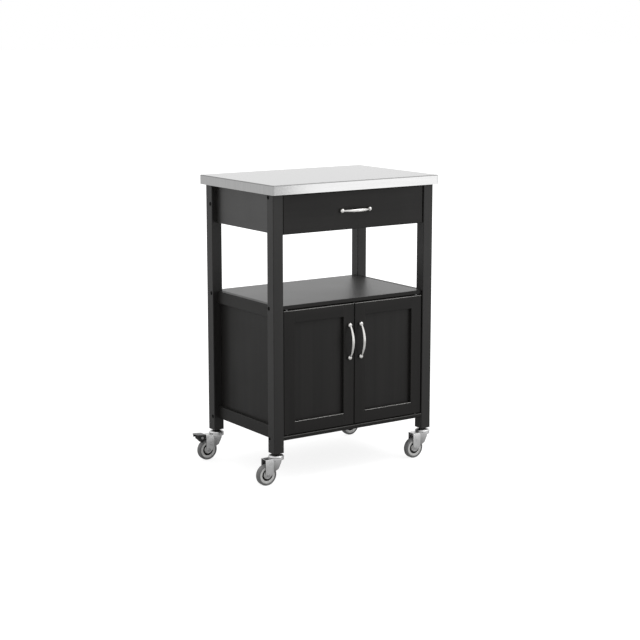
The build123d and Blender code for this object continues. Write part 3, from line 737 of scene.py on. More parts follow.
def rounded(corners: Sequence[Corner], steps: int = 5) -> list[Pair]:
    """Round the corners of a closed outline.

    Args:
        corners: Two coordinates and the corner's radius, for each corner in turn.
        steps: Segments on each round.

    Returns:
        The outline's points.
    """
    outline: list[Pair] = []
    for index, (x, y, radius) in enumerate(corners):
        here = Vector((x, y))
        before = (Vector(corners[index - 1][:2]) - here).normalized()
        after = (Vector(corners[(index + 1) % len(corners)][:2]) - here).normalized()
        half = before.angle(after, math.pi) / 2
        if radius <= 0 or half > QUARTER - STRAIGHT:
            outline.append((x, y))
            continue
        reach = radius / math.tan(half)
        centre = here + (before + after).normalized() * (radius / math.sin(half))
        first, last = here + before * reach - centre, here + after * reach - centre
        for step in range(steps + 1):
            spoke = first.slerp(last, step / steps, first)
            outline.append(tuple(centre + spoke.normalized() * radius))
    return outline


class Shape:
    """A mesh being built in millimetres, in the cart's frame or round a caster's stem."""

    weld: ClassVar[float] = 1e-4
    sliver: ClassVar[float] = 1e-5
    round_steps: ClassVar[int] = 3

    def __init__(self) -> None:
        """Start empty."""
        self.body = bmesh.new()

    def loft(
        self, rings: Sequence[Sequence[Point]], wrap: bool = False, closed: bool = True, caps: bool = False
    ) -> None:
        """Skin a row of equal rings.

        Args:
            rings: The rings' points, in order.
            wrap: Whether the last ring joins the first.
            closed: Whether each ring closes on itself.
            caps: Whether the two end rings get faces.
        """
        rows = [[self.body.verts.new(point) for point in ring] for ring in rings]
        pairs = list(zip(rows, rows[1:]))
        if wrap:
            pairs.append((rows[-1], rows[0]))
        count = len(rows[0])
        for first, second in pairs:
            for index in range(count if closed else count - 1):
                following = (index + 1) % count
                self.body.faces.new((first[index], first[following], second[following], second[index]))
        if caps:
            self.body.faces.new(rows[0])
            self.body.faces.new(reversed(rows[-1]))

    def spin(self, outline: Sequence[Pair], place: Matrix, steps: int = 72) -> None:
        """Turn a closed outline about an axis.

        Args:
            outline: Radius and height of each point.
            place: Carries the turned form, whose axis is z, to its place.
            steps: Segments round the axis.
        """
        rings = []
        for step in range(steps):
            turn = 2 * math.pi * step / steps
            cosine, sine = math.cos(turn), math.sin(turn)
            rings.append([tuple(place @ Vector((r * cosine, r * sine, h))) for r, h in outline])
        self.loft(rings, wrap=True)

    def prism(self, outline: Sequence[Pair], near: float, far: float) -> None:
        """Carry an outline in x and z along y, from near to far."""
        self.loft([[(x, y, z) for x, z in outline] for y in (near, far)], caps=True)

    def block(self, low: Point, high: Point, edge: float) -> None:
        """Add a block with rounded edges.

        Args:
            low: Its lowest corner.
            high: Its highest corner.
            edge: The radius of its edges.
        """
        turns = [QUARTER * step / self.round_steps for step in range(self.round_steps + 1)]
        rises = [(edge * math.sin(turn), edge * (1 - math.cos(turn))) for turn in turns]
        levels = [(grown, low[2] + rise) for grown, rise in rises]
        levels += [(grown, high[2] - rise) for grown, rise in reversed(rises)]
        inner = (low[0] + edge, low[1] + edge, high[0] - edge, high[1] - edge)
        self.loft([[(x, y, z) for x, y in self.grown_square(inner, grown)] for grown, z in levels], caps=True)

    def grown_square(self, inner: tuple[float, float, float, float], grown: float) -> list[Pair]:
        """Grow a rectangle by a margin with round corners.

        Args:
            inner: The lowest x and y of the rectangle, and the highest.
            grown: How far it grows.

        Returns:
            The outline's points.
        """
        x0, y0, x1, y1 = inner
        points = []
        for start, (x, y) in enumerate(((x1, y1), (x0, y1), (x0, y0), (x1, y0))):
            for step in range(self.round_steps + 1):
                turn = QUARTER * (start + step / self.round_steps)
                points.append((x + grown * math.cos(turn), y + grown * math.sin(turn)))
        return points

    def finish(self, move: Point = ORIGIN, bevel: float = 0.0, sharp: float = 38.0) -> Mesh:
        """Close the mesh and carry it to its place in metres.

        Args:
            move: Where its own origin goes, in millimetres.
            bevel: The width of the rounding along sharp edges, or nothing.
            sharp: Edges sharper than this angle in degrees stay crisp.

        Returns:
            The mesh.
        """
        body, limit = self.body, math.radians(sharp)
        bmesh.ops.remove_doubles(body, verts=body.verts, dist=self.weld)
        bmesh.ops.dissolve_degenerate(body, edges=body.edges, dist=self.sliver)
        bmesh.ops.recalc_face_normals(body, faces=body.faces)
        if bevel:
            keen = [edge for edge in body.edges if edge.is_manifold and edge.calc_face_angle() > limit]
            bmesh.ops.bevel(
                body, geom=keen, offset=bevel, segments=self.round_steps, profile=0.5, affect="EDGES",
                clamp_overlap=True,
            )
        for face in body.faces:
            face.smooth = True
        mesh = bpy.data.meshes.new("shape")
        body.to_mesh(mesh)
        body.free()
        mesh.transform(Matrix.Scale(MM, 4) @ Matrix.Translation(move))
        mesh.set_sharp_from_angle(angle=limit)
        return mesh


class Pattern:
    """A geometry node tree with named inputs that makes one plain mesh."""

    title: ClassVar[str] = ""
    inputs: ClassVar[dict[str, str]] = {}
    shares: ClassVar[tuple[str, ...]] = ()
    sharp: ClassVar[float] = 40.0

    def draw(self, pen: NodePen, ins: Outputs) -> Socket:
        """Draw the tree.

        Args:
            pen: The pen on the tree.
            ins: The tree's inputs.

        Returns:
            The geometry that the tree makes.
        """
        raise NotImplementedError

    def tree(self) -> bpy.types.NodeTree:
        """Build the tree on first use, ended with real geometry in one material.

        Returns:
            The tree.
        """
        tree = bpy.data.node_groups.get(self.title)
        if tree is None:
            tree = bpy.data.node_groups.new(self.title, "GeometryNodeTree")
            pen = NodePen(tree)
            pen.sockets("INPUT", {"Points": "Geometry"} | self.inputs | {"Material": "Material"})
            pen.sockets("OUTPUT", {"Mesh": "Geometry"})
            ins = pen.node("NodeGroupInput").outputs
            real = pen.out("GeometryNodeRealizeInstances", {0: self.draw(pen, ins)})
            smooth = pen.out("GeometryNodeSetShadeSmooth", {"Geometry": real})
            painted = pen.out("GeometryNodeSetMaterial", {"Geometry": smooth, "Material": ins["Material"]})
            pen.node("NodeGroupOutput", {"Mesh": painted})
        return tree

    def mesh(self, finish: Finish, spots: Sequence[Spot], **sizes: float) -> Mesh:
        """Run the tree once.

        Args:
            finish: The finish that it carries.
            spots: Places in millimetres and the directions that they look in.
            **sizes: The tree's inputs by name, with _ for a space, in millimetres unless they are shares.

        Returns:
            A plain mesh, in metres.
        """
        seed = bpy.data.meshes.new(self.title)
        seed.from_pydata([tuple(number * MM for number in place) for place, _ in spots], [], [])
        aims = seed.attributes.new(AIM, "FLOAT_VECTOR", "POINT")
        for mark, (_, aim) in zip(aims.data, spots):
            mark.vector = aim
        holder = put(self.title, seed)
        modifier = holder.modifiers.new(self.title, "NODES")
        modifier.node_group = self.tree()
        values: dict[str, object] = {"Material": finish.material()}
        for key, size in sizes.items():
            values[key.replace("_", " ")] = size if key in self.shares else size * MM
        for item in modifier.node_group.interface.items_tree:
            if item.in_out == "INPUT" and item.name in values:
                modifier[item.identifier] = values[item.name]
        made = bpy.data.meshes.new_from_object(holder.evaluated_get(bpy.context.evaluated_depsgraph_get()))
        holder.modifiers.remove(modifier)
        bpy.data.objects.remove(holder)
        bpy.data.meshes.remove(seed)
        made.set_sharp_from_angle(angle=math.radians(self.sharp))
        return made

    @staticmethod
    def at_points(pen: NodePen, points: Socket, form: Socket) -> Socket:
        """Set a form on every point, turned to look along the point's aim.

        Args:
            pen: The pen on the tree.
            points: The points.
            form: The form, whose own direction is z.

        Returns:
            The set forms.
        """
        aim = pen.out("GeometryNodeInputNamedAttribute", {"Name": AIM}, data_type="FLOAT_VECTOR")
        turn = pen.out("FunctionNodeAlignRotationToVector", {"Vector": aim}, axis="Z")
        return pen.out("GeometryNodeInstanceOnPoints", {"Points": points, "Instance": form, "Rotation": turn})

    @staticmethod
    def cut(pen: NodePen, form: Socket, tool: Socket, **more: Feed) -> Socket:
        """Cut a tool's form out of another form."""
        feeds = {"Mesh 1": form, "Mesh 2": tool} | more
        return pen.out("GeometryNodeMeshBoolean", feeds, operation="DIFFERENCE", solver="EXACT")


class Bolts(Pattern):
    """Flat-headed bolts with a hexagon socket, each looking along its aim from the wood's face."""

    title = "socket_bolts"
    inputs = dict.fromkeys(("Head", "Height", "Sink", "Shank", "Length", "Socket"), "Float")
    face_share: ClassVar[float] = 0.45
    bore_share: ClassVar[float] = 1.4
    head_sides: ClassVar[int] = 40
    socket_sides: ClassVar[int] = 6
    shank_sides: ClassVar[int] = 20

    def draw(self, pen: NodePen, ins: Outputs) -> Socket:
        """Draw a chamfered head with its socket cut out, and a shank, at every point.

        Args:
            pen: The pen on the tree.
            ins: The tree's inputs.

        Returns:
            The bolts.
        """
        rim, face = pen.half(ins["Head"]), pen.times(ins["Head"], self.face_share)
        cone = {"Vertices": self.head_sides, "Radius Top": rim, "Radius Bottom": face, "Depth": ins["Height"]}
        depth = pen.times(ins["Height"], self.bore_share)
        bore = {"Vertices": self.socket_sides, "Radius": pen.half(ins["Socket"]), "Depth": depth}
        socket = pen.lift(pen.out("GeometryNodeMeshCylinder", bore), pen.times(depth, -0.5))
        head = self.cut(pen, pen.out("GeometryNodeMeshCone", cone), socket)
        head = pen.lift(head, pen.math("SUBTRACT", ins["Sink"], pen.half(ins["Height"])))
        stem = {"Vertices": self.shank_sides, "Radius": pen.half(ins["Shank"]), "Depth": ins["Length"]}
        deep = pen.math("ADD", ins["Sink"], pen.half(ins["Length"]))
        shank = pen.lift(pen.out("GeometryNodeMeshCylinder", stem), deep)
        return self.at_points(pen, ins["Points"], pen.join(head, shank))


class Screws(Pattern):
    """Domed cross-slot screws, each standing on its point along its aim."""

    title = "domed_screws"
    inputs = dict.fromkeys(("Head", "Height", "Slot"), "Float")
    rings: ClassVar[int] = 14

    def draw(self, pen: NodePen, ins: Outputs) -> Socket:
        """Draw a flat dome with a cross cut into it at every point.

        Args:
            pen: The pen on the tree.
            ins: The tree's inputs.

        Returns:
            The screws.
        """
        round_ball = {"Segments": 2 * self.rings, "Rings": self.rings, "Radius": 1.0}
        ball = pen.out("GeometryNodeMeshUVSphere", round_ball)
        rim, height, slot = pen.half(ins["Head"]), ins["Height"], ins["Slot"]
        head = pen.out("GeometryNodeTransform", {"Geometry": ball, "Scale": pen.xyz(rim, rim, height)})
        bars = []
        for size in ((rim, slot), (slot, rim)):
            bar = pen.out("GeometryNodeMeshCube", {"Size": pen.xyz(*size, height)})
            bars.append(pen.lift(bar, height))
        head = self.cut(pen, head, pen.join(*bars), **{"Self Intersection": True})
        return self.at_points(pen, ins["Points"], head)


class Bow(Pattern):
    """A bow pull along x on z = 0: a bar that swells towards its middle, on two round feet."""

    title = "bow_pull"
    inputs = dict.fromkeys(
        ("Spacing", "Rise", "Neck", "Belly", "Flatness", "Foot", "Foot Height", "Foot Top"), "Float"
    )
    shares = ("Flatness",)
    arc_steps: ClassVar[int] = 49
    ring_steps: ClassVar[int] = 28
    foot_steps: ClassVar[int] = 34
    foot_line: ClassVar[tuple[Pair, ...]] = (
        (0.0, 0.78), (0.15, 0.92), (0.35, 1.0), (0.55, 0.97), (0.72, 0.84), (0.86, 0.62), (0.95, 0.38), (1.0, 0.02)
    )

    def draw(self, pen: NodePen, ins: Outputs) -> Socket:
        """Draw the bar along an arc and a turned foot under each end.

        Args:
            pen: The pen on the tree.
            ins: The tree's inputs.

        Returns:
            The pull.
        """
        half = pen.half(ins["Spacing"])
        back = pen.times(half, -1.0)
        crest = pen.math("SUBTRACT", ins["Rise"], pen.times(ins["Belly"], pen.half(ins["Flatness"])))
        path = {
            "Resolution": self.arc_steps, "Start": pen.xyz(back, 0.0, ins["Foot Height"]),
            "Middle": pen.xyz(0.0, 0.0, crest), "End": pen.xyz(half, 0.0, ins["Foot Height"]),
        }
        arc = pen.out("GeometryNodeCurveArc", path, mode="POINTS")
        arc = pen.out("GeometryNodeSetCurveNormal", {"Curve": arc}, mode="Z_UP")
        along = pen.out("GeometryNodeSplineParameter")
        swell = pen.math("SINE", pen.times(along, math.pi))
        girth = pen.spread(swell, pen.half(ins["Neck"]), pen.half(ins["Belly"]))
        ring = pen.out("GeometryNodeCurvePrimitiveCircle", {"Resolution": self.ring_steps, "Radius": 1.0})
        oval = pen.out("GeometryNodeTransform", {"Geometry": ring, "Scale": pen.xyz(1.0, ins["Flatness"], 1.0)})
        row = {"Count": 2, "Start Location": pen.xyz(back, 0.0, 0.0), "Offset": pen.xyz(ins["Spacing"], 0.0, 0.0)}
        ends = pen.out("GeometryNodeMeshLine", row)
        feet = pen.out("GeometryNodeInstanceOnPoints", {"Points": ends, "Instance": self.foot(pen, ins, ring)})
        return pen.join(self.skin(pen, arc, oval, girth), feet)

    def foot(self, pen: NodePen, ins: Outputs, ring: Socket) -> Socket:
        """Draw one turned foot.

        Args:
            pen: The pen on the tree.
            ins: The tree's inputs.
            ring: A circle to carry up the foot.

        Returns:
            The foot's mesh.
        """
        line = pen.out("GeometryNodeCurvePrimitiveLine", {"End": pen.xyz(0.0, 0.0, ins["Foot Top"])})
        line = pen.out("GeometryNodeResampleCurve", {"Curve": line, "Count": self.foot_steps})
        outline = pen.node("ShaderNodeFloatCurve", {"Value": pen.out("GeometryNodeSplineParameter")})
        curve = outline.mapping.curves[0]
        curve.points[0].location = self.foot_line[0]
        curve.points[1].location = self.foot_line[-1]
        for place in self.foot_line[1:-1]:
            curve.points.new(*place)
        outline.mapping.update()
        return self.skin(pen, line, ring, pen.times(outline.outputs[0], pen.half(ins["Foot"])))

    @staticmethod
    def skin(pen: NodePen, path: Socket, ring: Socket, girth: Socket) -> Socket:
        """Carry a ring of changing girth along a path, with closed ends."""
        feeds = {"Curve": path, "Profile Curve": ring, "Scale": girth, "Fill Caps": True}
        return pen.out("GeometryNodeCurveToMesh", feeds)


@dataclass(frozen=True)
class ScrewSize:
    """A domed screw, by its head's width and height and the width of its slots."""

    head: float
    height: float
    slot: float

    def drive(self, name: str, body: str, spots: Sequence[Spot]) -> None:
        """Set such screws on a body, as a piece of that name, with their heads at the spots."""
        mesh = Screws().mesh(ZINC, spots, Head=self.head, Height=self.height, Slot=self.slot)
        set_piece(name, mesh, ZINC, Seat(body, "hinge_steel"))


@dataclass
class Worktop:
    """The steel-clad worktop and the screws that hold it from the front rail."""

    screw: ScrewSize = ScrewSize(8.0, 1.8, 1.2)
    screw_x: tuple[float, ...] = (-190.0, -65.0, 65.0, 190.0)
    screw_y: float = -142.5
    rail_underside: float = 812.5

    def build(self) -> None:
        """Dress the sheet and its core, and screw the front rail up to it."""
        dress(WORKTOP_STEEL, "worktop_skin")
        dress(CORE_BOARD, "worktop_core")
        spots = [((x, self.screw_y, self.rail_underside), DOWN) for x in self.screw_x]
        self.screw.drive("worktop_screws", "frame", spots)


@dataclass
class Carcass:
    """The black frame: legs, aprons, rails, boards, panels and the bolts that hold them."""

    outer_x: float = 280.0
    bolt_y: float = 158.25
    bolt_levels: dict[End, tuple[float, ...]] = field(
        default_factory=lambda: {End.FRONT: (132.0, 508.0, 821.0), End.BACK: (132.0, 508.0, 773.5)}
    )
    bolt_head: float = 11.0
    bolt_head_height: float = 2.2
    bolt_sink: float = 3.0
    bolt_shank: float = 6.0
    bolt_length: float = 57.0
    bolt_socket: float = 5.2

    def build(self) -> None:
        """Dress every board by the way its grain runs, and set the bolts."""
        dress(LACQUER[Run.ACROSS], "apron_back", "front_stretcher")
        dress(BASE_LACQUER, "base_board")
        dress(SHELF_LACQUER, "middle_shelf")
        dress(APRON_LACQUER, "apron_left", "apron_right")
        dress(LACQUER[Run.DEEP], "side_rails_left", "side_rails_right")
        dress(LACQUER[Run.UPRIGHT], "back_panel", "side_panel_left", "side_panel_right")
        dress(LEG_LACQUER, *(f"leg_{end.name}_{side.name}".lower() for end in End for side in Side))
        self.set_bolts()

    def set_bolts(self) -> None:
        """Set the twelve bolts into the legs' outer faces."""
        spots = []
        for side in Side:
            for end in End:
                for level in self.bolt_levels[end]:
                    place = (side.value * self.outer_x, end.value * self.bolt_y, level)
                    spots.append((place, (-float(side.value), 0.0, 0.0)))
        # the bolts' black finish also paints the shade of their bores
        mesh = Bolts().mesh(
            SHADED_BLACK_BOLT, spots, Head=self.bolt_head, Height=self.bolt_head_height, Sink=self.bolt_sink,
            Shank=self.bolt_shank, Length=self.bolt_length, Socket=self.bolt_socket,
        )
        set_piece("leg_bolts", mesh, SHADED_BLACK_BOLT, Seat("frame", "bolt_black", ("frame_bolts",)))


@dataclass
class BowHandle:
    """A satin bow pull and the two screws that hold it from behind."""

    name: str
    body: str
    node: str
    middle: Point
    upright: bool
    board: float = 16.0
    spacing: float = 96.0
    rise: float = 26.0
    neck: float = 5.0
    belly: float = 9.0
    flatness: float = 0.78
    foot: float = 14.0
    foot_height: float = 7.0
    foot_top: float = 11.6
    screw: ScrewSize = ScrewSize(8.0, 1.7, 1.2)

    @property
    def along(self) -> Vector:
        """The way the pull runs."""
        return Vector((0.0, 0.0, 1.0)) if self.upright else Vector((1.0, 0.0, 0.0))

    @property
    def place(self) -> Matrix:
        """Carries the pull from z = 0, along x, to its board."""
        outward = Vector((0.0, -1.0, 0.0))
        turn = Matrix((self.along, outward.cross(self.along), outward)).transposed().to_4x4()
        return Matrix.Translation(Vector(self.middle) * MM) @ turn

    def build(self) -> None:
        """Make the pull and its screws."""
        mesh = Bow().mesh(
            NICKEL, [(ORIGIN, UP)], Spacing=self.spacing, Rise=self.rise, Neck=self.neck, Belly=self.belly,
            Flatness=self.flatness, Foot=self.foot, Foot_Height=self.foot_height, Foot_Top=self.foot_top,
        )
        mesh.transform(self.place)
        set_piece(self.name, mesh, NICKEL, Seat(self.body, "handle_nickel", (self.node,)))
        behind = Vector(self.middle) + Vector((0.0, self.board, 0.0))
        spots = []
        for sign in (-0.5, 0.5):
            spots.append((tuple(behind + self.along * self.spacing * sign), (0.0, 1.0, 0.0)))
        self.screw.drive(f"{self.name}_screws", self.body, spots)


@dataclass
class Drawer:
    """The drawer: its front, box, steel rails and handle."""

    front_face: float = -180.0
    middle_height: float = 771.25
    rail_face: float = 235.2
    rail_height: float = 764.0
    rail_screw_rise: float = 9.6
    rail_screw_y: tuple[float, ...] = (-140.0, -20.0, 110.0)
    rail_screw: ScrewSize = ScrewSize(4.4, 0.9, 0.8)

    def build(self) -> None:
        """Dress the boards and rails, and add the handle and the rails' screws."""
        dress(LACQUER[Run.ACROSS], "drawer_front")
        dress(DRAWER_LACQUER, "drawer_sides", "drawer_back", "drawer_bottom")
        dress(RUNNER_STEEL, "drawer_rails", "drawer_runners")
        dress(NYLON, "drawer_glides", "runner_glides")
        middle = (0.0, self.front_face, self.middle_height)
        BowHandle("drawer_pull", "drawer", "drawer_handle", middle, upright=False).build()
        spots = []
        for side in Side:
            for y in self.rail_screw_y:
                for rise in (-self.rail_screw_rise, self.rail_screw_rise):
                    place = (side.value * self.rail_face, y, self.rail_height + rise)
                    spots.append((place, (float(side.value), 0.0, 0.0)))
        self.rail_screw.drive("rail_screws", "drawer", spots)


@dataclass
class CupboardDoor:
    """One framed door with its pull, pivot pins and catch plate."""

    side: Side
    front_face: float = -180.0
    handle_x: float = 19.75
    handle_height: float = 389.5

    def build(self) -> None:
        """Dress the frame and panel and add the pull."""
        name = self.side.name.lower()
        dress(LACQUER[Run.UPRIGHT], f"door_panel_{name}")
        dress(STILE_LACQUER, f"door_stiles_{name}")
        dress(LEDGE_HIGHLIGHT_LACQUER, f"door_rails_{name}")
        dress(HINGE_STEEL, f"door_fittings_{name}")
        middle = (self.side.value * self.handle_x, self.front_face, self.handle_height)
        BowHandle(f"door_pull_{name}", f"door_{name}", f"door_handle_{name}", middle, upright=True).build()


@dataclass
class DoorCatches:
    """The two magnetic catches under the shelf and the bushes that carry the doors' pins."""

    centre_x: float = 27.25
    front: float = -162.7
    width: float = 34.0
    depth: float = 14.0
    top: float = 502.0
    height: float = 10.0
    edge: float = 1.2
    plate_reach: float = 1.0
    plate_thickness: float = 1.6
    plate_inset: float = 2.4
    plate_edge: float = 0.32

    def build(self) -> None:
        """Make each catch of a housing and two pole plates, and dress the bushes."""
        dress(HINGE_STEEL, "door_bushes")
        housings, plates = Shape(), Shape()
        half, bottom = self.width / 2, self.top - self.height
        for side in Side:
            x = side.value * self.centre_x
            low = (x - half, self.front + self.plate_reach, bottom)
            housings.block(low, (x + half, self.front + self.depth, self.top), self.edge)
            for level in (bottom + self.plate_inset, self.top - self.plate_inset - self.plate_thickness):
                near = (x - half + self.plate_inset, self.front, level)
                far = (x + half - self.plate_inset, self.front + self.depth / 2, level + self.plate_thickness)
                plates.block(near, far, self.plate_edge)
        seat = Seat("frame", "catch_plastic", ("door_catches",))
        set_piece("catch_housings", housings.finish(), CATCH, seat)
        set_piece("catch_plates", plates.finish(), ZINC, Seat("frame", "hinge_steel"))


@dataclass
class Caster:
    """A swivel caster under one leg, drawn round its stem with the wheel trailing towards -x.

    The lines of the wheel's core, web and tyre give radius, height and fillet on one side of the wheel.
    """

    side: Side
    end: End
    trail: float = 34.0
    wheel_radius: float = 31.0
    core_line: tuple[Corner, ...] = (
        (3.05, -9.6, 0.0), (4.6, -10.0, 0.3), (10.6, -10.0, 1.0), (11.2, -2.4, 0.6), (17.0, -2.4, 0.6),
        (17.4, -7.1, 0.7), (18.8, -7.5, 0.6), (23.6, -7.5, 0.5), (25.0, -6.9, 0.4),
    )
    web_line: tuple[Corner, ...] = ((10.8, -3.8, 0.0), (12.6, -3.4, 0.5), (15.6, -3.2, 0.6), (17.3, -5.2, 0.0))
    tyre_line: tuple[Corner, ...] = (
        (25.05, -8.0, 0.3), (25.6, -8.8, 0.5), (26.6, -9.0, 0.4), (27.4, -8.6, 0.6), (28.4, -8.7, 0.8),
        (31.0, -5.6, 4.2),
    )
    tyre_steps: int = 96
    roof: float = 77.6
    roof_under: float = 76.0
    fork_half: float = 13.0
    sheet: float = 2.0
    nose: float = 17.0
    nose_round: float = 0.54
    crease: float = 0.6
    dent: float = 1.2
    dent_reach: float = 3.0  # in creases
    dent_shares: tuple[float, ...] = (0.0, 0.1, 0.9, 1.0)
    # how dark the painted shade on the flanks gets beside the cheeks, and the margin it keeps
    drawn_most: float = 0.75
    drawn_margin: float = 0.1
    cheek_front: float = -16.0
    cheek_end: float = 8.5
    knee_height: float = 37.0
    flank_x: float = 3.0
    flank_height: float = 44.0
    nose_height: float = 68.3
    fork_edge: float = 0.45
    fork_sharp: float = 42.0
    round_steps: int = 8
    cheek_steps: int = 6
    flank_steps: int = 10
    crown_top: float = 78.0
    crown_radius: float = 22.0
    crown_skirt: float = 6.0
    crown_hollow: float = 0.8
    crown_lip: Pair = (0.4, 0.6)
    crown_round: float = 1.7
    crown_steps: int = 80
    stem_bore: float = 4.85

    @property
    def name(self) -> str:
        """The caster's place in words."""
        return f"{self.end.name}_{self.side.name}".lower()

    @property
    def stand(self) -> Point:
        """The foot of the stem's axis on the floor."""
        return (self.side.value * STEM_X, self.end.value * STEM_Y, 0.0)

    @property
    def axle(self) -> Matrix:
        """Carries a turned form from z to the axle."""
        return Matrix.Translation((-self.trail, 0.0, self.wheel_radius)) @ Matrix.Rotation(QUARTER, 4, "X")

    def build(self) -> None:
        """Make the fork, wheel and tyre, and dress the pins."""
        dress(PIN_STEEL, f"caster_pins_{self.name}")
        wheel = f"wheel_{self.name}"
        core = Seat(wheel, "wheel_plastic", (f"caster_wheel_{self.name}",))
        tyre = Seat(wheel, "tyre_rubber", (f"caster_tyre_{self.name}",))
        fork = Seat(f"caster_{self.name}", "caster_zinc", (f"caster_fork_{self.name}",))
        set_piece(f"wheel_core_{self.name}", self.turned(self.core_line), WHEEL, core)
        set_piece(f"wheel_web_{self.name}", self.turned(self.web_line), WEB, Seat(wheel, "wheel_plastic"))
        set_piece(f"wheel_tyre_{self.name}", self.turned(self.tyre_line, self.tyre_steps), TYRE, tyre)
        set_piece(f"fork_{self.name}", self.fork(), ZINC, fork)

    def turned(self, half: Sequence[Corner], steps: int = 72) -> Mesh:
        """Turn a line and its mirror image about the axle.

        Args:
            half: Radius, height and fillet of each corner, on one side of the wheel.
            steps: Segments round the axle.

        Returns:
            The mesh.
        """
        mirrored = [(radius, -height, fillet) for radius, height, fillet in reversed(half)]
        shape = Shape()
        shape.spin(rounded([*half, *mirrored]), self.axle, steps)
        return shape.finish(self.stand)

    def lower_edge(self, x: float) -> float:
        """Find the height of a fork wall's lower edge.

        Args:
            x: How far ahead of the stem.

        Returns:
            The height above the floor.
        """
        run = x + self.trail
        knee = Vector((self.cheek_front + self.trail, self.knee_height - self.wheel_radius))
        touch = math.atan2(knee.y, knee.x) - math.acos(self.cheek_end / knee.length)
        tangent = Vector((math.cos(touch), math.sin(touch))) * self.cheek_end
        if run <= tangent.x:
            return self.wheel_radius - math.sqrt(max(self.cheek_end**2 - run**2, 0.0))
        stations = (
            (tangent.x - self.trail, tangent.y + self.wheel_radius), (self.cheek_front, self.knee_height),
            (self.flank_x, self.flank_height), (self.nose + self.sheet, self.nose_height + self.sheet),
        )
        for (x0, z0), (x1, z1) in zip(stations, stations[1:]):
            if x <= x1:
                return z0 + (z1 - z0) * (x - x0) / (x1 - x0)
        return self.nose_height

    def fork_columns(self) -> list[tuple[Vector, Vector]]:
        """Plan the fork from one rear edge round the nose to the other.

        Returns:
            Points along its outer and inner face.
        """
        rear = -self.trail - self.cheek_end
        turns = [QUARTER * step / self.round_steps for step in range(self.round_steps)]
        flat = [rear + self.cheek_end * (1 - math.cos(turn)) for turn in turns]
        cheek = self.cheek_front + self.trail
        flat += [-self.trail + cheek * step / self.cheek_steps for step in range(self.cheek_steps)]
        flat.append(self.cheek_front - self.crease)
        inside = self.fork_half - self.sheet
        columns = [(Vector((x, -self.fork_half)), Vector((x, -inside))) for x in flat]
        outer = self.folded(self.fork_half, self.nose, self.dent)
        columns += zip(outer, self.folded(inside, self.nose - self.sheet, 0.0))
        columns += [(Vector((x, self.fork_half)), Vector((x, inside))) for x in reversed(flat)]
        return columns

    def folded(self, half: float, nose: float, dent: float) -> list[Vector]:
        """Plan the fork ahead of its flat cheeks: two flanks that fold in to a round nose.

        Args:
            half: Half the width of the cheeks.
            nose: The foremost point.
            dent: How far the flanks are pushed in beside the cheeks.

        Returns:
            Points from one cheek round to the other.
        """
        tip = half * self.nose_round
        centre = Vector((nose - tip, 0.0))
        knee = Vector((self.cheek_front, -half))
        reach = centre - knee
        start = math.atan2(reach.y, reach.x) - math.asin(tip / reach.length) - QUARTER
        turns = [start * (1 - step / self.round_steps) for step in range(2 * self.round_steps + 1)]
        arc = [centre + Vector((math.cos(turn), math.sin(turn))) * tip for turn in turns]
        fall = self.dent_reach * self.crease / reach.length
        shares = [share * fall for share in self.dent_shares]
        shares += [step / self.flank_steps for step in range(2, self.flank_steps)]
        flank = []
        for share in shares:
            depth = dent * min(share / fall, 1.0) * (1.0 - share)
            flank.append(knee.lerp(arc[0], share) + Vector((0.0, depth)))
        return flank + arc + [Vector((point.x, -point.y)) for point in reversed(flank)]

    def fork(self) -> Mesh:
        """Make the stamped fork: walls and roof in one sheet, under a round crown.

        Returns:
            The mesh.
        """
        shape = Shape()
        rows = []
        for outer, inner in self.fork_columns():
            low = self.lower_edge(outer.x)
            rows.append([
                (inner.x, 0.0, self.roof), (outer.x, outer.y, self.roof), (outer.x, outer.y, low),
                (inner.x, inner.y, low), (inner.x, inner.y, self.roof_under), (inner.x, 0.0, self.roof_under),
            ])
        shape.loft(rows, closed=False)
        self.close_ends(shape, rows)
        self.add_ears(shape)
        inside, skirt = self.crown_radius - self.sheet, self.crown_top - self.crown_skirt
        inner_lip, outer_lip = self.crown_lip
        dish = [
            (self.stem_bore, self.roof_under, 0.0), (inside, self.roof_under, self.crown_hollow),
            (inside, skirt, inner_lip), (self.crown_radius, skirt, outer_lip),
            (self.crown_radius, self.crown_top, self.crown_round), (self.stem_bore, self.crown_top, 0.0),
        ]
        shape.spin(rounded(dish), Matrix.Identity(4), self.crown_steps)
        mesh = shape.finish(self.stand, bevel=self.fork_edge, sharp=self.fork_sharp)
        # paint shade onto the flanks through a point mark
        self.mark_drawn(mesh)
        return mesh

    def mark_drawn(self, mesh: Mesh) -> None:
        """Mark the flanks for painted shade, most beside the cheeks and less towards the nose.

        Args:
            mesh: The fork's mesh, in place.
        """
        marks = mesh.attributes.new(FLANK_SHADE, "FLOAT", "POINT")
        below = self.crown_top - self.crown_skirt - self.drawn_margin
        for vertex, mark in zip(mesh.vertices, marks.data):
            ahead = vertex.co.x / MM - self.stand[0] - self.cheek_front
            if ahead > self.drawn_margin and vertex.co.z / MM < below:
                mark.value = self.drawn_most * max(1.0 - ahead / (self.nose - self.cheek_front), 0.0)

    @staticmethod
    def close_ends(shape: Shape, rows: Sequence[Sequence[Point]]) -> None:
        """Close the fork's rear edges.

        Args:
            shape: The fork being built.
            rows: Its columns of points.
        """
        for row in (rows[0], rows[-1]):
            points = [shape.body.verts.new(point) for point in row]
            shape.body.faces.new((points[0], points[1], points[4], points[5]))
            shape.body.faces.new((points[1], points[2], points[3], points[4]))

    def add_ears(self, shape: Shape) -> None:
        """Leave a plain fork without ears."""


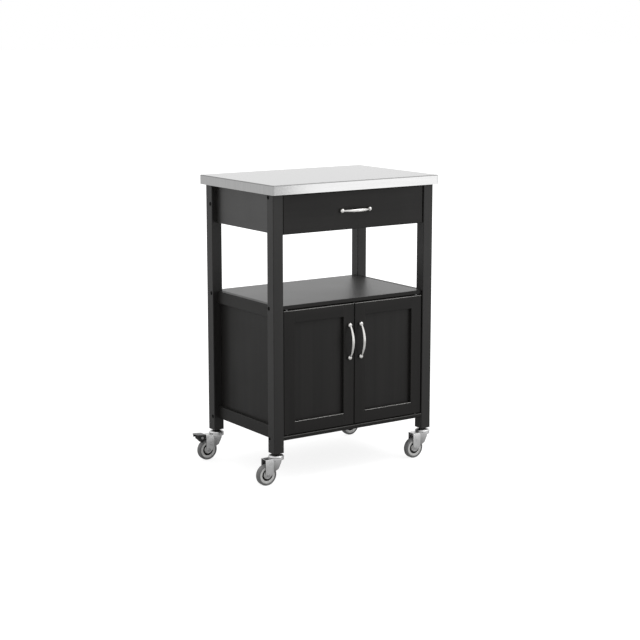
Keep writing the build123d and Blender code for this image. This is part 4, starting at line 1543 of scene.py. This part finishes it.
@dataclass
class BrakedCaster(Caster):
    """A caster with a foot pedal whose shoe swings onto the tyre."""

    pivot_x: float = -58.52
    pivot_z: float = 72.961
    ear_radius: float = 4.4
    ear_inset: float = 0.2
    ear_steps: int = 16
    pedal_front: float = -44.5
    front_top: float = 80.961
    pedal_heel: float = -73.02
    heel_top: float = 83.761
    pedal_tip: float = -81.02
    tip_top: float = 84.961
    tip_edge: float = 1.4
    tip_half: float = 5.0
    pedal_thickness: float = 2.6
    skirt_inside: float = 13.5
    skirt_outside: float = 15.5
    skirt_inset: float = 0.15
    skirt_front: float = 68.961
    lobe: tuple[Corner, ...] = ((-61.02, 63.461, 3.0), (-65.52, 66.461, 2.0), (-65.52, 72.461, 2.0))
    skirt_heel: float = 72.461
    skirt_round: Pair = (1.0, 1.5)
    shoe_half: float = 9.5
    shoe_radius: float = 34.5
    shoe_low: float = 49.0
    shoe_high: float = 56.0
    shoe_steps: int = 12
    pedal_edge: float = 0.6
    pedal_sharp: float = 30.0

    def build(self) -> None:
        """Make the caster and its pedal."""
        super().build()
        body = f"brake_{self.name}"
        seat = Seat(body, "brake_black", (f"brake_pedal_{self.name}",))
        set_piece(f"pedal_{self.name}", self.pedal(), PEDAL, seat)
        set_piece(f"pedal_plate_{self.name}", self.plate(), PLATE, Seat(body, "brake_black"))

    def add_ears(self, shape: Shape) -> None:
        """Add the two ears that hold the pedal's pin.

        Args:
            shape: The fork being built.
        """
        outline = [(-self.trail, self.pivot_z + self.ear_radius), (-self.trail, self.pivot_z - self.ear_radius)]
        for step in range(self.ear_steps + 1):
            turn = math.pi * step / self.ear_steps
            across, down = self.ear_radius * math.sin(turn), self.ear_radius * math.cos(turn)
            outline.append((self.pivot_x - across, self.pivot_z - down))
        near, far = self.fork_half - self.sheet + self.ear_inset, self.fork_half - self.ear_inset
        shape.prism(outline, near, far)
        shape.prism(outline, -far, -near)

    def plate(self) -> Mesh:
        """Make the pedal's tread plate, which rises and thins to its tip.

        Returns:
            The mesh.
        """
        shape = Shape()
        sections = (
            (self.pedal_front, self.skirt_outside, self.front_top, self.pedal_thickness),
            (self.pedal_heel, self.skirt_outside, self.heel_top, self.pedal_thickness),
            (self.pedal_tip, self.tip_half, self.tip_top, self.tip_edge),
        )
        shape.loft([
            [(x, -half, top - thick), (x, half, top - thick), (x, half, top), (x, -half, top)]
            for x, half, top, thick in sections
        ], caps=True)
        return shape.finish(self.stand, bevel=self.pedal_edge, sharp=self.pedal_sharp)

    def pedal(self) -> Mesh:
        """Make the pedal under its plate: two lobed skirts and the shoe.

        Returns:
            The mesh.
        """
        shape = Shape()
        inside_plate = self.pedal_thickness / 2
        front = (self.pedal_front, self.front_top - inside_plate, 0.0)
        heel = (self.pedal_heel, self.heel_top - inside_plate, 0.0)
        front_round, heel_round = self.skirt_round
        skirt = rounded([
            front, (self.pedal_front, self.skirt_front, front_round), *self.lobe,
            (self.pedal_heel, self.skirt_heel, heel_round), heel,
        ])
        flush = self.skirt_outside - self.skirt_inset
        shape.prism(skirt, self.skirt_inside, flush)
        shape.prism(skirt, -flush, -self.skirt_inside)
        back = self.lobe[1]
        share = (self.pedal_front - back[0]) / (self.pedal_front - self.pedal_heel)
        shoe = [
            (self.pedal_front, self.skirt_front), front[:2],
            (back[0], self.front_top + share * (self.heel_top - self.front_top) - inside_plate), back[:2],
        ]
        swing = self.shoe_high - self.shoe_low
        for step in range(self.shoe_steps + 1):
            turn = math.radians(self.shoe_low + swing * step / self.shoe_steps)
            across, rise = self.shoe_radius * math.cos(turn), self.shoe_radius * math.sin(turn)
            shoe.append((-self.trail - across, self.wheel_radius + rise))
        shape.prism(shoe, -self.shoe_half, self.shoe_half)
        return shape.finish(self.stand, bevel=self.pedal_edge, sharp=self.pedal_sharp)


@dataclass
class SwivelHeads:
    """The bearing caps, black collars and stems between the legs and the forks.

    The cap's line gives radius, height above its foot and fillet from the rim up to the crown.
    """

    bore: float = 4.8
    cap_low: float = 78.6
    cap_high: float = 87.0
    cap_line: tuple[Corner, ...] = (
        (21.9, 0.0, 0.3), (22.5, 0.6, 0.4), (22.5, 2.8, 0.9), (21.4, 3.6, 0.5), (20.6, 5.6, 2.6), (14.4, 7.9, 2.2),
    )
    cap_crown: Pair = (12.6, 0.5)
    cap_steps: int = 80
    collar_high: float = 91.0
    collar_radius: float = 10.5
    collar_edge: float = 0.5
    collar_steps: int = 48

    def build(self) -> None:
        """Turn the four caps and collars and dress the stems."""
        dress(ZINC, "caster_stems")
        caps, collars = Shape(), Shape()
        crown, crown_edge = self.cap_crown
        cap = [
            (self.bore, self.cap_low, 0.0),
            *((radius, self.cap_low + rise, fillet) for radius, rise, fillet in self.cap_line),
            (crown, self.cap_high, crown_edge), (self.bore, self.cap_high, 0.0),
        ]
        collar = [
            (self.bore, self.cap_high, 0.0), (self.collar_radius, self.cap_high, self.collar_edge),
            (self.collar_radius, self.collar_high, self.collar_edge), (self.bore, self.collar_high, 0.0),
        ]
        for side in Side:
            for end in End:
                stand = Matrix.Translation((side.value * STEM_X, end.value * STEM_Y, 0.0))
                caps.spin(rounded(cap), stand, self.cap_steps)
                collars.spin(rounded(collar), stand, self.collar_steps)
        set_piece("bearing_caps", caps.finish(), ZINC, Seat("frame", "caster_zinc", ("swivel_bearings",)))
        set_piece("collars", collars.finish(), COLLAR, Seat("frame", "collar_plastic", ("stem_collars",)))


@dataclass(frozen=True)
class Softbox:
    """A square studio lamp that looks at the cart."""

    name: str
    place: Point
    size: float
    power: float
    aim: Point = (0.0, 0.0, 0.45)

    def build(self) -> None:
        """Hang the lamp."""
        lamp = bpy.data.lights.new(self.name, "AREA")
        lamp.shape = "SQUARE"
        lamp.size = self.size
        lamp.energy = self.power
        holder = put(self.name, lamp)
        holder.location = self.place
        look = Vector(self.aim) - Vector(self.place)
        holder.rotation_euler = look.to_track_quat("-Z", "Y").to_euler()


@dataclass
class Studio:
    """A white room: floor, soft lamps, backdrop and the camera."""

    camera_place: Point = (-2.652819, -3.892524, 1.304942)
    camera_pitch: float = 10.616
    camera_yaw: float = 34.291
    camera_lens: float = 90.13
    camera_sensor: float = 36.0
    camera_reach: float = 200.0
    floor_reach: float = 60.0
    floor_pale: Pair = (0.36, 0.4)
    floor_grain: float = 40.0
    floor_detail: float = 3.0
    floor_glow: float = 0.82
    fade_reach: Pair = (0.8, 3.2)
    mirror_glow: Pair = (0.2, 0.6)
    mirror_reach: Pair = (0.6, 4.0)
    ambient: float = 0.85
    lamps: tuple[Softbox, ...] = (
        Softbox("top_softbox", (1.3, -0.5, 2.5), 1.5, 21.0),
        Softbox("left_softbox", (-1.08, 1.16, 1.42), 1.0, 0.9, (-0.25, 0.0, 0.8)),
        Softbox("front_softbox", (1.62, -2.27, 0.43), 0.84, 3.0, (0.0, 0.0, 0.43)),
        Softbox("high_softbox", (0.3, -2.0, 1.75), 1.5, 2.8, (-0.2, 0.0, 0.8)),
    )

    def build(self) -> None:
        """Set the view transform, the backdrop, the floor, the lamps and the camera."""
        bpy.context.scene.view_settings.view_transform = "Standard"
        self.hang_backdrop()
        self.lay_floor()
        for lamp in self.lamps:
            lamp.build()
        self.set_camera()

    @staticmethod
    def rays(pen: NodePen) -> tuple[Socket, Socket]:
        """Tell rays from the camera, and rays from a mirror or a clear material."""
        path = pen.node("ShaderNodeLightPath").outputs
        return path["Is Camera Ray"], pen.math("MAXIMUM", path["Is Glossy Ray"], path["Is Transmission Ray"])

    def hang_backdrop(self) -> None:
        """Make the world white where it is seen, and softer where it only lights."""
        world = bpy.data.worlds.new("white_room")
        pen = NodePen.on_blank(world)
        strength = pen.spread(pen.math("MAXIMUM", *self.rays(pen)), self.ambient, 1.0)
        sky = pen.out("ShaderNodeBackground", {"Color": grey(1.0), "Strength": strength})
        pen.node("ShaderNodeOutputWorld", {"Surface": sky})
        bpy.context.scene.world = world

    def lay_floor(self) -> None:
        """Lay a pale floor that keeps the cart's shadow and fades to white further off."""
        reach = self.floor_reach
        mesh = bpy.data.meshes.new("floor")
        corners = [(-reach, -reach, 0.0), (reach, -reach, 0.0), (reach, reach, 0.0), (-reach, reach, 0.0)]
        mesh.from_pydata(corners, [], [(0, 1, 2, 3)])
        floor = put("floor", mesh)
        material = bpy.data.materials.new("pale_floor")
        pen = NodePen.on_blank(material)
        where = pen.node("ShaderNodeTexCoord").outputs["Object"]
        far = pen.vector_math("LENGTH", where).outputs["Value"]
        fade = pen.spread(far, self.floor_glow, 1.0, *self.fade_reach)
        pale = pen.spread(pen.noise(where, self.floor_grain, self.floor_detail), *self.floor_pale)
        camera, shiny = self.rays(pen)
        mirrored = pen.spread(far, *self.mirror_glow, *self.mirror_reach)
        level = pen.math("MAXIMUM", pen.times(camera, fade), pen.times(shiny, mirrored))
        matt = pen.out("ShaderNodeBsdfDiffuse", {"Color": pale})
        glow = pen.out("ShaderNodeEmission", {"Strength": level})
        both = pen.out("ShaderNodeAddShader", {0: matt, 1: glow})
        pen.node("ShaderNodeOutputMaterial", {"Surface": both})
        mesh.materials.append(material)

    def set_camera(self) -> None:
        """Stand the camera where the photograph was taken."""
        lens = bpy.data.cameras.new("camera")
        lens.sensor_width = self.camera_sensor
        lens.lens = self.camera_lens
        lens.clip_end = self.camera_reach
        camera = put("camera", lens)
        camera.location = self.camera_place
        camera.rotation_euler = Euler((QUARTER - math.radians(self.camera_pitch), 0.0, -math.radians(self.camera_yaw)))
        bpy.context.scene.camera = camera


def assemblies() -> Iterable[object]:
    """Make the cart's sub-assemblies, in the order in which they are built.

    Returns:
        The sub-assemblies, one at a time.
    """
    yield Worktop()
    yield Carcass()
    yield Drawer()
    for side in Side:
        yield CupboardDoor(side)
    yield DoorCatches()
    yield SwivelHeads()
    for side in Side:
        yield Caster(side, End.FRONT)
        yield BrakedCaster(side, End.BACK)


def main() -> None:
    """Build the studio and every sub-assembly."""
    logging.basicConfig(level=logging.INFO, format="%(name)s: %(message)s")
    Studio().build()
    for assembly in assemblies():
        LOG.info("building %s", type(assembly).__name__)
        assembly.build()


if __name__ == "__main__":
    main()
